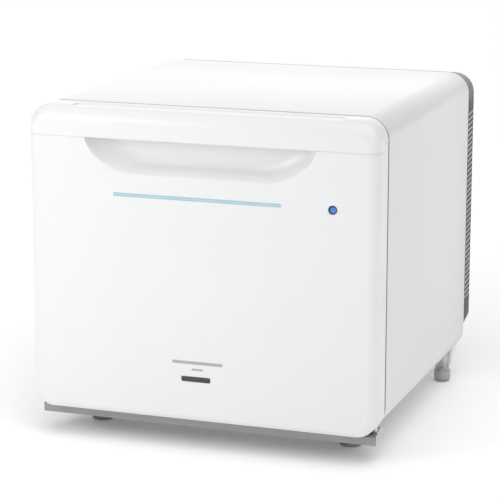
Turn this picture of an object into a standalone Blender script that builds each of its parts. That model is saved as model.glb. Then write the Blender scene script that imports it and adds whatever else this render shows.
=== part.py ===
"""Compact mini fridge: a foamed cabinet cooled from behind, and a door hinged on its right side.

Metres, +Z up, the front faces -Y. The origin is on the floor, under the centre of the bounding box.
"""

import math

import bmesh
import bpy
from mathutils import Matrix, Vector

# Overall size
WIDTH = 0.400
HEIGHT = 0.375
DEPTH = 0.425
CLEARANCE = 0.0003

# Door
DOOR_FRONT = -DEPTH / 2
DOOR_THICKNESS = 0.035
DOOR_BACK = DOOR_FRONT + DOOR_THICKNESS
DOOR_BOTTOM = 0.033
DOOR_CORNER = 0.024
DOOR_SIDE_ROUND = 0.014
DOOR_TOP_ROUND = 0.018
DOOR_LOW_ROUND = 0.008
DOOR_WALL = 0.003
SEAM_Z = 0.3415
PANEL_STEP = 0.0006
PANEL_FACE = DOOR_FRONT + PANEL_STEP
DOOR_GAP = 0.006

# Finger scoop under the top cap
SCOOP_BOTTOM = 0.304
SCOOP_HALF = 0.133
SCOOP_CORNER_X = 0.051
SCOOP_CORNER_Z = 0.041
SCOOP_CORNER_BEND = 1.14
SCOOP_DEPTH = 0.020
SCOOP_RISE = 0.026
SCOOP_STEPS = 6

# Top cap: the grip groove behind its lower front edge and the shallow dish in its top
GRIP_HALF = 0.117
GRIP_FRONT = DOOR_FRONT + 0.0042
GRIP_BACK = DOOR_FRONT + 0.0170
GRIP_TOP = SEAM_Z + 0.009
CAP_HOLLOW_HALF = 0.165
CAP_HOLLOW_FRONT = DOOR_FRONT + 0.0205
DISH_LEFT = -0.150
DISH_RIGHT = 0.157
DISH_DEPTH = 0.0018
DISH_BACK = DOOR_BACK - 0.0070

# Stripe, lamp and printed bars on the door's face
STRIPE_LEFT = -0.0983
STRIPE_RIGHT = 0.0939
STRIPE_Z = 0.2810
STRIPE_HALF = 0.0021
STRIPE_SINK = 0.0009
LAMP_X = 0.1502
LAMP_Z = 0.2802
LAMP_LENS = 0.0049
LAMP_BEZEL = 0.0070
LAMP_BOARD_HALF = 0.0100
PRINT_SINK = 0.0005
# Each printed bar: name, left, right, middle height, half height
PRINTS = (
    ("print_line_upper", -0.0312, 0.0269, 0.1000, 0.0017),
    ("print_line_small", -0.0085, 0.0045, 0.0925, 0.0011),
    ("print_badge", -0.0208, 0.0130, 0.0815, 0.0030),
)

# Inside of the door
PLUG_HALF = 0.155
PLUG_LOW = 0.083
PLUG_HIGH = 0.327
PLUG_BACK = DOOR_BACK + 0.012
PLUG_TAPER = 0.004
PLUG_WALL = 0.0022
GASKET_OUT = 0.009
GASKET_IN = 0.021
POCKET_LEFT = -0.140
POCKET_RIGHT = 0.148
POCKET_WALL = 0.0020

# Cabinet
CAB_WIDTH = 0.398
CAB_BOTTOM = 0.033
CAB_TOP = 0.375
CAB_FRONT = DOOR_BACK + DOOR_GAP
CAB_REAR = 0.1795
CAB_CORNER = 0.025
SHELL_WALL = 0.0022
LINER_WALL = 0.0018
ROOM_HALF = 0.162
ROOM_BOTTOM = 0.076
ROOM_TOP = 0.334
ROOM_BACK = 0.132
ROOM_CORNER = 0.014

# Door hinge axis, measured in from the door's right side and its back
HINGE_X = WIDTH / 2 - 0.008
HINGE_Y = DOOR_BACK - 0.006
HINGE_PIN = 0.002
HINGE_PLATE_Z = 0.3510
HINGE_PLATE_HALF = 0.0012
HINGE_PLATE_ROUND = 0.0056
HINGE_PLATE_REACH = 0.0106
HINGE_PLATE_SIDE = HINGE_X + 0.0077
HINGE_ARM_LEFT = HINGE_X - 0.0005
HINGE_ARM_RIGHT = HINGE_X + 0.0040
HINGE_SWEEP = 0.0109
LEAF_LEFT = 0.1715
LEAF_RIGHT = 0.1955
LEAF_LOW = 0.3275
LEAF_HIGH = 0.3570
HINGE_SCREW_X = 0.1800
HINGE_SCREW_Z = (0.3340, 0.3510)

# Rear cover
COVER_HALF = 0.1984
COVER_TOP = 0.3715
COVER_BOTTOM = 0.0565
COVER_FRONT = CAB_REAR + CLEARANCE
COVER_REAR = DEPTH / 2
COVER_WALL = 0.0022
LOUVRES = 37
LOUVRE_PITCH = 0.0063
LOUVRE_LOW = 0.0945
LOUVRE_SLOT = 0.0030
LOUVRE_RISE = 0.0030

# Base bar
BAR_FRONT = DOOR_FRONT + 0.020
BAR_BACK = BAR_FRONT + 0.0285
BAR_HALF = 0.1950
BAR_PEAK = 0.1890
BAR_TAB_X = 0.120
BAR_TAB_Y = BAR_BACK + 0.015

# Cold room fittings
SHELF_LOW = 0.1900
SHELF_TOP = 0.1940
SHELF_HALF = 0.1590
SHELF_FRONT = -0.068
SHELF_BACK = 0.082
SHELF_SLOTS = 17
SHELF_PITCH = 0.0172
RAIL_INNER = 0.1500
RAIL_FRONT = -0.1060
TRAY_HALF = 0.085
TRAY_FRONT = -0.030
TRAY_BACK = 0.120
TRAY_HEIGHT = 0.024
TRAY_WALL = 0.0018
ROOM_COVER_FRONT = 0.0915
ROOM_COVER_HALF = 0.070
ROOM_COVER_LOW = 0.150
ROOM_COVER_HIGH = 0.318
ROOM_COVER_WALL = 0.0018
DIAL_X = 0.045
DIAL_Z = 0.171

# Cord socket
INLET_X = 0.115
INLET_Z = 0.105
INLET_HALF_X = 0.0150
INLET_HALF_Z = 0.0120

# Cooling column, centred on x = 0
COOL_Z = 0.222
BLOCK_HALF = 0.020
PORT_HALF = BLOCK_HALF + 0.0005
SINK_HALF = 0.050
BAY_HALF = SINK_HALF + 0.004
COLD_HALF = 0.045
FAN_BLADES = 7
FAN_PITCH = math.radians(30)
FAN_BLADE_THICKNESS = 0.0012
GRILLE_HALF = 0.045
GRILLE_SLOTS = 13
GRILLE_PITCH = 0.0075

# Feet
FOOT_X = 0.149
FOOT_Y = DOOR_FRONT + 0.080
LEG_X = 0.181
LEG_Y = DOOR_FRONT + 0.360
# Each level of the leg's spread: height, reach inward, reach outward, half width along Y
LEG_SPREAD = (
    (0.0150, 0.0060, 0.0070, 0.0060),
    (0.0300, 0.0080, 0.0120, 0.0090),
    (0.0470, 0.0100, 0.0155, 0.0110),
)

CURVE_STEPS = 6


def clear_scene():
    for obj in list(bpy.data.objects):
        bpy.data.objects.remove(obj, do_unlink=True)


def material(name, colour, roughness, metallic=0.0):
    made = bpy.data.materials.new(name)
    made.use_nodes = True
    shader = made.node_tree.nodes["Principled BSDF"]
    shader.inputs["Base Color"].default_value = (*colour, 1.0)
    shader.inputs["Roughness"].default_value = roughness
    shader.inputs["Metallic"].default_value = metallic
    made.diffuse_color = (*colour, 1.0)
    return made


def finish_mesh(name, bm, colour, is_cutter=False):
    """Links the bmesh as an object, faces outward, smooth where it is round."""
    bmesh.ops.recalc_face_normals(bm, faces=bm.faces)
    mesh = bpy.data.meshes.new(name)
    bm.to_mesh(mesh)
    bm.free()
    mesh.shade_smooth()
    mesh.set_sharp_from_angle(angle=math.radians(30))
    obj = bpy.data.objects.new(name, mesh)
    bpy.context.collection.objects.link(obj)
    if is_cutter:
        obj.hide_render = True
        obj.display_type = "WIRE"
    else:
        obj.data.materials.append(colour)
    return obj


def add_rings(bm, rings, is_closed=False):
    """Bridges loops that hold the same number of points, and caps the two ends of an open stack."""
    loops = [[bm.verts.new(point) for point in ring] for ring in rings]
    count = len(loops[0])
    pairs = list(zip(loops, loops[1:]))
    if is_closed:
        pairs.append((loops[-1], loops[0]))
    for low, high in pairs:
        for i in range(count):
            j = (i + 1) % count
            bm.faces.new((low[i], low[j], high[j], high[i]))
    if not is_closed:
        bm.faces.new(loops[0][::-1])
        bm.faces.new(loops[-1])


def add_box(bm, low, high):
    """A box between two opposite corners."""
    low = Vector(low)
    high = Vector(high)
    size = high - low
    centre = Matrix.Translation((low + high) / 2)
    scale = Matrix.Diagonal((*size, 1.0))
    bmesh.ops.create_cube(bm, size=1.0, matrix=centre @ scale)


def add_round(bm, profile, centre, axis="Z", segments=24, is_closed=False):
    """Turns (radius, height) points about an axis through the centre."""
    rings = []
    for radius, height in profile:
        ring = []
        for i in range(segments):
            angle = 2 * math.pi * i / segments
            a = radius * math.cos(angle)
            b = radius * math.sin(angle)
            offset = (a, b, height) if axis == "Z" else (a, height, b)
            ring.append(Vector(centre) + Vector(offset))
        rings.append(ring)
    add_rings(bm, rings, is_closed)


def add_prism_x(bm, outline, low, high):
    """Extrudes an outline of (y, z) points along X."""
    add_rings(bm, [[(x, y, z) for y, z in outline] for x in (low, high)])


def add_prism_z(bm, outline, low, high):
    """Extrudes an outline of (x, y) points along Z."""
    add_rings(bm, [[(x, y, z) for x, y in outline] for z in (low, high)])


def rounded_ring(y, x0, x1, z0, z1, top_radius, low_radius=None, steps=CURVE_STEPS):
    """A rounded rectangle in the plane at y: one radius for its top corners and one for the bottom."""
    low_radius = top_radius if low_radius is None else low_radius
    corners = (
        (x1 - top_radius, z1 - top_radius, top_radius, 0.0),
        (x0 + top_radius, z1 - top_radius, top_radius, 0.5),
        (x0 + low_radius, z0 + low_radius, low_radius, 1.0),
        (x1 - low_radius, z0 + low_radius, low_radius, 1.5),
    )
    ring = []
    for cx, cz, radius, start in corners:
        for i in range(steps + 1):
            angle = math.pi * (start + 0.5 * i / steps)
            ring.append((cx + radius * math.cos(angle), y, cz + radius * math.sin(angle)))
    return ring


def solid(name, colour, *builders):
    """One object from functions that each add a shape to the same bmesh."""
    bm = bmesh.new()
    for build in builders:
        build(bm)
    return finish_mesh(name, bm, colour)


def cutter(name, *builders):
    bm = bmesh.new()
    for build in builders:
        build(bm)
    return finish_mesh(name, bm, None, is_cutter=True)


def box(low, high):
    return lambda bm: add_box(bm, low, high)


def turned(profile, centre, axis="Z", segments=24, is_closed=False):
    return lambda bm: add_round(bm, profile, centre, axis, segments, is_closed)


def stack(rings, is_closed=False):
    return lambda bm: add_rings(bm, rings, is_closed)


def boolean(obj, other, operation="DIFFERENCE"):
    modifier = obj.modifiers.new(f"{operation.lower()} {other.name}", "BOOLEAN")
    modifier.operation = operation
    modifier.solver = "EXACT"
    modifier.object = other


def hang(obj, parent):
    """Parents the object and leaves it where it stands."""
    obj.parent = parent
    obj.matrix_parent_inverse = parent.matrix_world.inverted()


def place_origin(obj, point):
    """Moves the object's origin to the point and leaves its mesh where it stands."""
    obj.data.transform(Matrix.Translation(-Vector(point)))
    obj.location = point


def axis_empty(name, point):
    empty = bpy.data.objects.new(name, None)
    empty.empty_display_size = 0.03
    empty.location = point
    bpy.context.collection.objects.link(empty)
    bpy.context.view_layer.update()
    return empty


# ---------------------------------------------------------------- door


def edge_inset(radius, depth):
    """How far a rounded edge of this radius stands in from the side at this depth behind the face."""
    if depth >= radius:
        return 0.0
    return radius - math.sqrt(radius**2 - (radius - depth) ** 2)


def door_ring(y, depth, grow):
    """One outline of the door: depth is measured behind its face, and grow is negative for its hollow."""
    side = edge_inset(DOOR_SIDE_ROUND + grow, depth) - grow
    top = edge_inset(DOOR_TOP_ROUND + grow, depth) - grow
    low = edge_inset(DOOR_LOW_ROUND + grow, depth) - grow
    corner = max(DOOR_CORNER - side, 0.007)
    half = WIDTH / 2 - side
    return rounded_ring(y, -half, half, DOOR_BOTTOM + low, HEIGHT - top, corner)


def door_block(face, back, grow=0.0, back_edge=0.0):
    """The rings of the door's rounded block from its face to its back."""
    depths = [0.0, 0.0008, 0.0025, 0.005, 0.0085, 0.013, DOOR_TOP_ROUND + grow]
    rings = [door_ring(face + depth, depth, grow) for depth in depths]
    if back_edge:
        rings.append(door_ring(back - back_edge, DOOR_THICKNESS, grow))
        rings.append(door_ring(back, DOOR_THICKNESS, grow - back_edge))
    else:
        rings.append(door_ring(back, DOOR_THICKNESS, grow))
    return rings


def scoop_corner(corner_x, corner_z, steps=8):
    """A quarter of a flattened ellipse, as distances from its centre towards the side and the bottom."""
    points = []
    for i in range(steps + 1):
        angle = 0.5 * math.pi * i / steps
        across = max(math.cos(angle), 0.0) ** SCOOP_CORNER_BEND
        points.append((corner_x * across, corner_z * math.sin(angle) ** SCOOP_CORNER_BEND))
    return points


def scoop_ring(y, half, bottom, top, corner_x):
    """The scoop's outline at one depth: its sides lean in and turn into its floor."""
    corner_z = min(SCOOP_CORNER_Z, 0.9 * (top - bottom))
    corner = scoop_corner(corner_x, corner_z)
    ring = [(half, y, top), (-half, y, top)]
    ring += [(-half + corner_x - dx, y, bottom + corner_z - dz) for dx, dz in corner]
    ring += [(half - corner_x + dx, y, bottom + corner_z - dz) for dx, dz in corner[::-1]]
    return ring


def scoop_cutter(name, grow):
    """The scoop slopes in from below and is deepest just under the cap."""
    top = SEAM_Z + 0.010
    mouth = SCOOP_HALF + 0.003 + grow
    rings = [scoop_ring(DOOR_FRONT - 0.010, mouth, SCOOP_BOTTOM - 0.001 - grow, top, SCOOP_CORNER_X)]
    for i in range(SCOOP_STEPS + 1):
        share = i / SCOOP_STEPS
        depth = SCOOP_DEPTH * math.sin(0.5 * math.pi * share)
        rise = SCOOP_RISE * (1 - math.cos(0.5 * math.pi * share))
        half = SCOOP_HALF - 0.016 * share + grow
        corner = SCOOP_CORNER_X - 0.012 * share
        rings.append(scoop_ring(PANEL_FACE + depth + grow, half, SCOOP_BOTTOM + rise - grow, top, corner))
    return cutter(name, stack(rings))


def hinge_blocks(name, grow):
    """The solid corners that carry the hinge: bottom right and top right of the door."""
    right = WIDTH / 2 + 0.010
    return cutter(
        name,
        box((0.1770 - grow, -0.30, 0.0), (right, 0.0, 0.0580 + grow)),
        box((0.1770 - grow, -0.30, SEAM_Z - 0.0030 - grow), (right, 0.0, 0.45)),
    )


def liner_seat(blocks):
    """The shallow rebate in the door's back that takes the inner panel."""
    rings = [door_ring(y, DOOR_THICKNESS, -DOOR_WALL) for y in (DOOR_BACK - 0.0029, DOOR_BACK + 0.010)]
    seat = cutter("cut_liner_seat", stack(rings))
    boolean(seat, blocks)
    return seat


def door_cavity(blocks):
    """The hollow of the outer door, with a wall left round the scoop."""
    rings = door_block(PANEL_FACE + DOOR_WALL, DOOR_BACK - 0.0015, -DOOR_WALL)
    cavity = cutter("cut_door_cavity", stack(rings))
    above = cutter("cut_above_cavity", box((-0.3, -0.3, SEAM_Z - 0.0030), (0.3, 0.0, 0.5)))
    boolean(cavity, above)
    boolean(cavity, scoop_cutter("cut_scoop_wall", DOOR_WALL))
    boolean(cavity, blocks)
    return cavity


def door_foam(colour):
    gap = DOOR_WALL + CLEARANCE
    rings = door_block(PANEL_FACE + gap, DOOR_BACK - 0.0029, -gap)
    foam = solid("door_foam", colour, stack(rings))
    above = cutter("cut_above_foam", box((-0.3, -0.3, SEAM_Z - 0.0033), (0.3, 0.0, 0.5)))
    reach = LAMP_BOARD_HALF + 0.0005
    low = (LAMP_X - reach, PANEL_FACE, LAMP_Z - reach)
    high = (LAMP_X + reach, PANEL_FACE + 0.0125, LAMP_Z + reach)
    boolean(foam, above)
    boolean(foam, scoop_cutter("cut_scoop_foam", gap))
    boolean(foam, hinge_blocks("cut_foam_blocks", CLEARANCE))
    boolean(foam, cutter("cut_lamp_pocket", box(low, high)))
    return foam


def bar_outline(left, right, middle, half, y, steps=5):
    """A flat bar with round ends, in the plane at y."""
    return rounded_ring(y, left, right, middle - half, middle + half, half * 0.98, steps=steps)


def face_details():
    """Shallow seats in the door's face for its stripe, lamp and printed bars."""
    ahead = DOOR_FRONT - 0.002
    left = STRIPE_LEFT - CLEARANCE
    right = STRIPE_RIGHT + CLEARANCE
    half = STRIPE_HALF + CLEARANCE
    deep = PANEL_FACE + STRIPE_SINK + CLEARANCE
    stripe = [bar_outline(left, right, STRIPE_Z, half, y) for y in (ahead, deep)]
    builders = [stack(stripe)]
    for _, left, right, middle, half in PRINTS:
        low = (left - CLEARANCE, ahead, middle - half - CLEARANCE)
        high = (right + CLEARANCE, PANEL_FACE + PRINT_SINK + CLEARANCE, middle + half + CLEARANCE)
        builders.append(box(low, high))
    radius = LAMP_BEZEL + CLEARANCE
    builders.append(turned([(radius, -0.003), (radius, 0.006)], (LAMP_X, PANEL_FACE, LAMP_Z), "Y"))
    return cutter("cut_face_details", *builders)


def hinge_bores():
    """Room for the hinge parts inside the door: pin bores, bushing bores and the slot for the plate."""
    centre = (HINGE_X, HINGE_Y, 0.0)
    bush = 0.0045 + CLEARANCE
    slot_low = HINGE_PLATE_Z - HINGE_PLATE_HALF - CLEARANCE
    slot_high = HINGE_PLATE_Z + HINGE_PLATE_HALF + CLEARANCE
    return cutter(
        "cut_hinge_bores",
        turned([(bush, 0.020), (bush, 0.0535)], centre),
        turned(
            [
                (0.0036, slot_low - 0.0032),
                (0.0036, slot_low),
                (HINGE_SWEEP, slot_low),
                (HINGE_SWEEP, slot_high),
                (bush, slot_high),
                (bush, slot_high + 0.0090),
            ],
            centre,
            segments=40,
        ),
    )


def door_outer(colour, seat, cavity, bores):
    obj = solid("door_outer", colour, stack(door_block(PANEL_FACE, DOOR_BACK, back_edge=0.0012)))
    above = cutter("cut_above_seam", box((-0.3, -0.3, SEAM_Z - 0.0002), (0.3, 0.0, 0.5)))
    boolean(obj, above)
    boolean(obj, cavity)
    boolean(obj, seat)
    boolean(obj, scoop_cutter("cut_scoop", 0.0))
    boolean(obj, face_details())
    boolean(obj, bores)
    return obj


def door_top_cap(colour, seat, bores):
    """The cap over the scoop: its lower front edge is the finger grip."""
    obj = solid("door_top_cap", colour, stack(door_block(DOOR_FRONT, DOOR_BACK, back_edge=0.0012)))
    below = box((-0.3, -0.3, -0.1), (0.3, 0.0, SEAM_Z + 0.0002))
    grip = box((-GRIP_HALF, GRIP_FRONT, SEAM_Z - 0.01), (GRIP_HALF, GRIP_BACK, GRIP_TOP))
    hollow = box(
        (-CAP_HOLLOW_HALF, CAP_HOLLOW_FRONT, SEAM_Z + 0.0032),
        (CAP_HOLLOW_HALF, 0.0, HEIGHT - 0.0065),
    )
    dish = box((DISH_LEFT, DOOR_FRONT + 0.0012, HEIGHT - DISH_DEPTH), (DISH_RIGHT, DISH_BACK, HEIGHT + 0.01))
    shapes = (("below_seam", below), ("grip", grip), ("cap_hollow", hollow), ("cap_dish", dish))
    for word, shape in shapes:
        boolean(obj, cutter(f"cut_{word}", shape))
    boolean(obj, seat)
    boolean(obj, bores)
    return obj


def plug_ring(y, inset, radius):
    """The outline of the door's raised inner middle."""
    low, high = PLUG_LOW + inset, PLUG_HIGH - inset
    return rounded_ring(y, -PLUG_HALF + inset, PLUG_HALF - inset, low, high, radius)


def door_liner(colour):
    """The door's inner panel: a flat rim for the seal and a raised middle."""
    gap = DOOR_WALL + CLEARANCE
    front = DOOR_BACK - 0.0025
    rings = [
        plug_ring(PLUG_BACK - PLUG_WALL, PLUG_WALL + PLUG_TAPER, 0.010),
        plug_ring(front, PLUG_WALL, 0.012),
        door_ring(front, DOOR_THICKNESS, -gap),
        door_ring(DOOR_BACK, DOOR_THICKNESS, -gap),
        plug_ring(DOOR_BACK, 0.0, 0.014),
        plug_ring(PLUG_BACK, PLUG_TAPER, 0.012),
    ]
    obj = solid("door_liner", colour, stack(rings))
    boolean(obj, hinge_blocks("cut_liner_blocks", CLEARANCE))
    return obj


def door_gasket(colour):
    def ring(y, inset):
        return door_ring(y, DOOR_THICKNESS, -inset)

    front = DOOR_BACK + CLEARANCE
    back = CAB_FRONT - CLEARANCE
    rings = [
        ring(front, GASKET_OUT),
        ring(back - 0.0016, GASKET_OUT),
        ring(back, GASKET_OUT + 0.0016),
        ring(back, GASKET_IN - 0.0010),
        ring(front, GASKET_IN),
    ]
    return solid("door_gasket", colour, stack(rings, is_closed=True))


def door_pocket(name, colour, low, high, depth):
    """A shelf on the door: a long tray that is open at its top."""
    front = PLUG_BACK + CLEARANCE
    back = front + depth
    wall = POCKET_WALL
    obj = solid(name, colour, box((POCKET_LEFT, front, low), (POCKET_RIGHT, back, high)))
    inside = box(
        (POCKET_LEFT + wall, front + wall, low + wall),
        (POCKET_RIGHT - wall, back - wall, high + 0.01),
    )
    boolean(obj, cutter(f"cut_{name}", inside))
    return obj


def stripe_inlay(colour):
    rings = [
        bar_outline(STRIPE_LEFT, STRIPE_RIGHT, STRIPE_Z, STRIPE_HALF, y)
        for y in (PANEL_FACE - 0.0001, PANEL_FACE + STRIPE_SINK)
    ]
    return solid("stripe_inlay", colour, stack(rings))


def printed_bar(colour, name, left, right, middle, half):
    low = (left, PANEL_FACE - 0.00005, middle - half)
    high = (right, PANEL_FACE + PRINT_SINK, middle + half)
    return solid(name, colour, box(low, high))


def lamp_parts(bezel_colour, lens_colour, board_colour):
    """A ring round a domed lens, and behind them a small board with its diode."""
    centre = (LAMP_X, PANEL_FACE, LAMP_Z)
    rim = LAMP_LENS + CLEARANCE
    ring = [
        (LAMP_BEZEL, 0.0029),
        (LAMP_BEZEL, -0.0001),
        (LAMP_BEZEL - 0.0005, -0.0005),
        (rim, -0.0003),
        (rim, 0.0029),
    ]
    dome = [(LAMP_LENS, 0.0028), (LAMP_LENS, 0.0002), (0.0036, -0.0003), (0.0014, -0.0005)]
    low = (LAMP_X - LAMP_BOARD_HALF, PANEL_FACE + 0.0034, LAMP_Z - LAMP_BOARD_HALF)
    high = (LAMP_X + LAMP_BOARD_HALF, PANEL_FACE + 0.0050, LAMP_Z + LAMP_BOARD_HALF)
    bezel = solid("lamp_bezel", bezel_colour, turned(ring, centre, "Y", 28, True))
    lens = solid("lamp_lens", lens_colour, turned(dome, centre, "Y", 24))
    board = solid("lamp_board", board_colour, box(low, high))
    diode = cutter("add_lamp_diode", turned([(0.0025, 0.0120), (0.0025, 0.0045)], centre, "Y", 16))
    boolean(board, diode, "UNION")
    return [bezel, lens, board]


def hinge_bushing(name, colour, low, high):
    bore = HINGE_PIN + CLEARANCE
    outer = 0.0045
    profile = [(bore, low), (outer, low), (outer, high), (bore, high)]
    return solid(name, colour, turned(profile, (HINGE_X, HINGE_Y, 0.0), "Z", 24, True))


# ---------------------------------------------------------------- cabinet


def cabinet_ring(y, inset, corner):
    half = CAB_WIDTH / 2 - inset
    return rounded_ring(y, -half, half, CAB_BOTTOM + inset, CAB_TOP - inset, corner)


def cabinet_shell(colour):
    inner = CAB_CORNER - SHELL_WALL
    rings = [
        cabinet_ring(CAB_FRONT + 0.0010, 0.0, CAB_CORNER),
        cabinet_ring(CAB_REAR - 0.0015, 0.0, CAB_CORNER),
        cabinet_ring(CAB_REAR, 0.0012, CAB_CORNER - 0.0012),
        cabinet_ring(CAB_REAR, SHELL_WALL, inner),
        cabinet_ring(CAB_FRONT, SHELL_WALL, inner),
        cabinet_ring(CAB_FRONT, 0.0010, CAB_CORNER - 0.0010),
    ]
    return solid("cabinet_shell", colour, stack(rings, is_closed=True))


def room_ring(y, grow=0.0, draft=0.0):
    half = ROOM_HALF + grow - draft
    low = ROOM_BOTTOM - grow + draft
    high = ROOM_TOP + grow - draft
    return rounded_ring(y, -half, half, low, high, ROOM_CORNER + grow)


def leaf_pocket(grow, depth):
    """The space round the hinge leaf at the top right of the cabinet's front."""
    return box(
        (LEAF_LEFT - grow, CAB_FRONT - 0.01, LEAF_LOW - grow),
        (WIDTH / 2, CAB_FRONT + depth, LEAF_HIGH + grow),
    )


def square_port(half, front, back):
    """A square hole along Y, centred on the cooling column."""
    return box((-half, front, COOL_Z - half), (half, back, COOL_Z + half))


def inner_liner(colour):
    """One moulding: the walls of the cold room and the flange that the seal rests on."""
    rim = SHELL_WALL + CLEARANCE
    corner = CAB_CORNER - rim
    rings = [
        room_ring(ROOM_BACK),
        room_ring(CAB_FRONT + 0.0020),
        room_ring(CAB_FRONT, 0.0015),
        cabinet_ring(CAB_FRONT, rim, corner),
        cabinet_ring(CAB_FRONT + LINER_WALL, rim, corner),
        room_ring(CAB_FRONT + LINER_WALL, LINER_WALL + 0.0005),
        room_ring(CAB_FRONT + 0.0040, LINER_WALL),
        room_ring(ROOM_BACK + LINER_WALL, LINER_WALL),
    ]
    obj = solid("inner_liner", colour, stack(rings))
    windows = (square_port(PORT_HALF, 0.10, 0.20), leaf_pocket(CLEARANCE, 0.01))
    boolean(obj, cutter("cut_liner", *windows))
    return obj


def cabinet_foam(colour):
    rim = SHELL_WALL + 2 * CLEARANCE
    corner = CAB_CORNER - rim
    front = CAB_FRONT + LINER_WALL + CLEARANCE
    wall = LINER_WALL + CLEARANCE
    rings = [
        room_ring(ROOM_BACK + wall, wall),
        room_ring(CAB_FRONT + 0.0045, wall),
        room_ring(front, wall + 0.0006),
        cabinet_ring(front, rim, corner),
        cabinet_ring(CAB_REAR - 0.0030, rim, corner),
    ]
    obj = solid("cabinet_foam", colour, stack(rings))
    boolean(obj, cutter("cut_foam_port", square_port(PORT_HALF, 0.10, 0.158), leaf_pocket(0.002, 0.0220)))
    boolean(obj, cutter("cut_foam_bay", square_port(BAY_HALF, 0.1560, 0.20)))
    return obj


def rear_panel(colour):
    rim = SHELL_WALL + 2 * CLEARANCE
    corner = CAB_CORNER - rim
    rings = [cabinet_ring(y, rim, corner) for y in (CAB_REAR - 0.0027, CAB_REAR - 0.0002)]
    obj = solid("rear_panel", colour, stack(rings))
    boolean(obj, cutter("cut_rear_panel", square_port(BAY_HALF, 0.15, 0.20)))
    return obj


def cover_ring(y, inset, rise):
    half = COVER_HALF - inset
    low = COVER_BOTTOM + rise + inset
    high = COVER_TOP - inset
    return rounded_ring(y, -half, half, low, high, 0.023 - inset, 0.012 - min(inset, 0.008))


def louvre_cutter():
    """Slots that rise a little towards the rear, cut through both side walls."""
    builders = []
    front = COVER_FRONT + 0.0045
    back = COVER_REAR - 0.0065
    for i in range(LOUVRES):
        low = LOUVRE_LOW + i * LOUVRE_PITCH
        high = low + LOUVRE_SLOT
        outline = [(front, low), (back, low + LOUVRE_RISE), (back, high + LOUVRE_RISE), (front, high)]
        for side in (-1, 1):
            ends = sorted((side * (COVER_HALF - 0.006), side * (COVER_HALF + 0.006)))
            builders.append(lambda bm, shape=outline, x=ends: add_prism_x(bm, shape, *x))
    return cutter("cut_louvres", *builders)


def rear_cover(colour):
    """A deep lid over the rear: louvred sides, a fan grille and a hole for the cord socket."""
    wall = COVER_WALL
    rings = [
        cover_ring(COVER_REAR, 0.0060, 0.0095),
        cover_ring(COVER_REAR - 0.0018, 0.0018, 0.0080),
        cover_ring(COVER_REAR - 0.0060, 0.0, 0.0060),
        cover_ring(COVER_FRONT, 0.0, 0.0),
        cover_ring(COVER_FRONT, wall, 0.0),
        cover_ring(COVER_REAR - 0.0085, wall, 0.0060),
        cover_ring(COVER_REAR - 0.0045, 0.0030, 0.0080),
        cover_ring(COVER_REAR - wall, 0.0070, 0.0095),
    ]
    obj = solid("rear_cover", colour, stack(rings))
    boolean(obj, louvre_cutter())
    front = COVER_REAR - 0.02
    back = COVER_REAR + 0.01
    holes = []
    for i in range(GRILLE_SLOTS):
        z = COOL_Z + (i - (GRILLE_SLOTS - 1) / 2) * GRILLE_PITCH
        holes.append(box((-GRILLE_HALF, front, z - 0.0018), (GRILLE_HALF, back, z + 0.0018)))
    half_x = INLET_HALF_X + CLEARANCE
    half_z = INLET_HALF_Z + CLEARANCE
    low = (INLET_X - half_x, front, INLET_Z - half_z)
    holes.append(box(low, (INLET_X + half_x, back, INLET_Z + half_z)))
    boolean(obj, cutter("cut_grille", *holes))
    return obj


def base_bar(colour):
    """The bar under the door: it carries the lower hinge pin in a raised boss at its right end."""
    outline = [
        (BAR_FRONT, 0.0212),
        (BAR_FRONT, 0.0303),
        (BAR_FRONT + 0.0018, 0.0322),
        (CAB_FRONT - 0.0008, 0.0322),
        (BAR_BACK - 0.0010, 0.0282),
        (BAR_BACK, 0.0270),
        (BAR_BACK, 0.0212),
    ]
    wedge = [
        (BAR_FRONT + 0.0002, 0.0250),
        (BAR_FRONT + 0.0002, 0.0318),
        (DOOR_BACK + 0.0004, 0.0364),
        (CAB_FRONT - 0.0010, 0.0368),
        (BAR_BACK - 0.0010, 0.0300),
        (BAR_BACK - 0.0010, 0.0250),
    ]
    obj = solid("base_bar", colour, lambda bm: add_prism_x(bm, outline, -BAR_HALF, BAR_HALF))
    ends = cutter(
        "add_bar_ends",
        lambda bm: add_prism_x(bm, wedge, BAR_PEAK, BAR_HALF - 0.0002),
        lambda bm: add_prism_x(bm, wedge, 0.0002 - BAR_HALF, -BAR_PEAK),
    )
    pin = (HINGE_X, HINGE_Y, 0.0)
    boss = cutter("add_bar_boss", turned([(0.0029, 0.0240), (0.0029, 0.0351)], pin))
    tabs = []
    bores = [turned([(HINGE_PIN + CLEARANCE, 0.0226), (HINGE_PIN + CLEARANCE, 0.0400)], pin)]
    for side in (-1, 1):
        x = side * BAR_TAB_X
        tabs.append(box((x - 0.015, BAR_BACK - 0.004, 0.0292), (x + 0.015, BAR_BACK + 0.026, 0.0326)))
        bores.append(turned([(0.0023, 0.0250), (0.0023, 0.0400)], (x, BAR_TAB_Y, 0.0), segments=16))
    for other in (ends, boss, cutter("add_bar_tabs", *tabs)):
        boolean(obj, other, "UNION")
    boolean(obj, cutter("cut_bar_bores", *bores))
    return obj


def bar_screw(name, colour, side):
    """A pan-head screw that would hold the bar's tab; its shank ends under the cabinet's skin."""
    profile = [(0.0030, 0.0269), (0.0037, 0.0276), (0.0037, 0.0289), (0.0019, 0.0289), (0.0019, 0.0326)]
    return solid(name, colour, turned(profile, (side * BAR_TAB_X, BAR_TAB_Y, 0.0), segments=16))


def lower_hinge_pin(colour):
    profile = [(HINGE_PIN, 0.0229), (HINGE_PIN, 0.0498), (HINGE_PIN - 0.0006, 0.0506)]
    return solid("lower_hinge_pin", colour, turned(profile, (HINGE_X, HINGE_Y, 0.0), segments=20))


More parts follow.
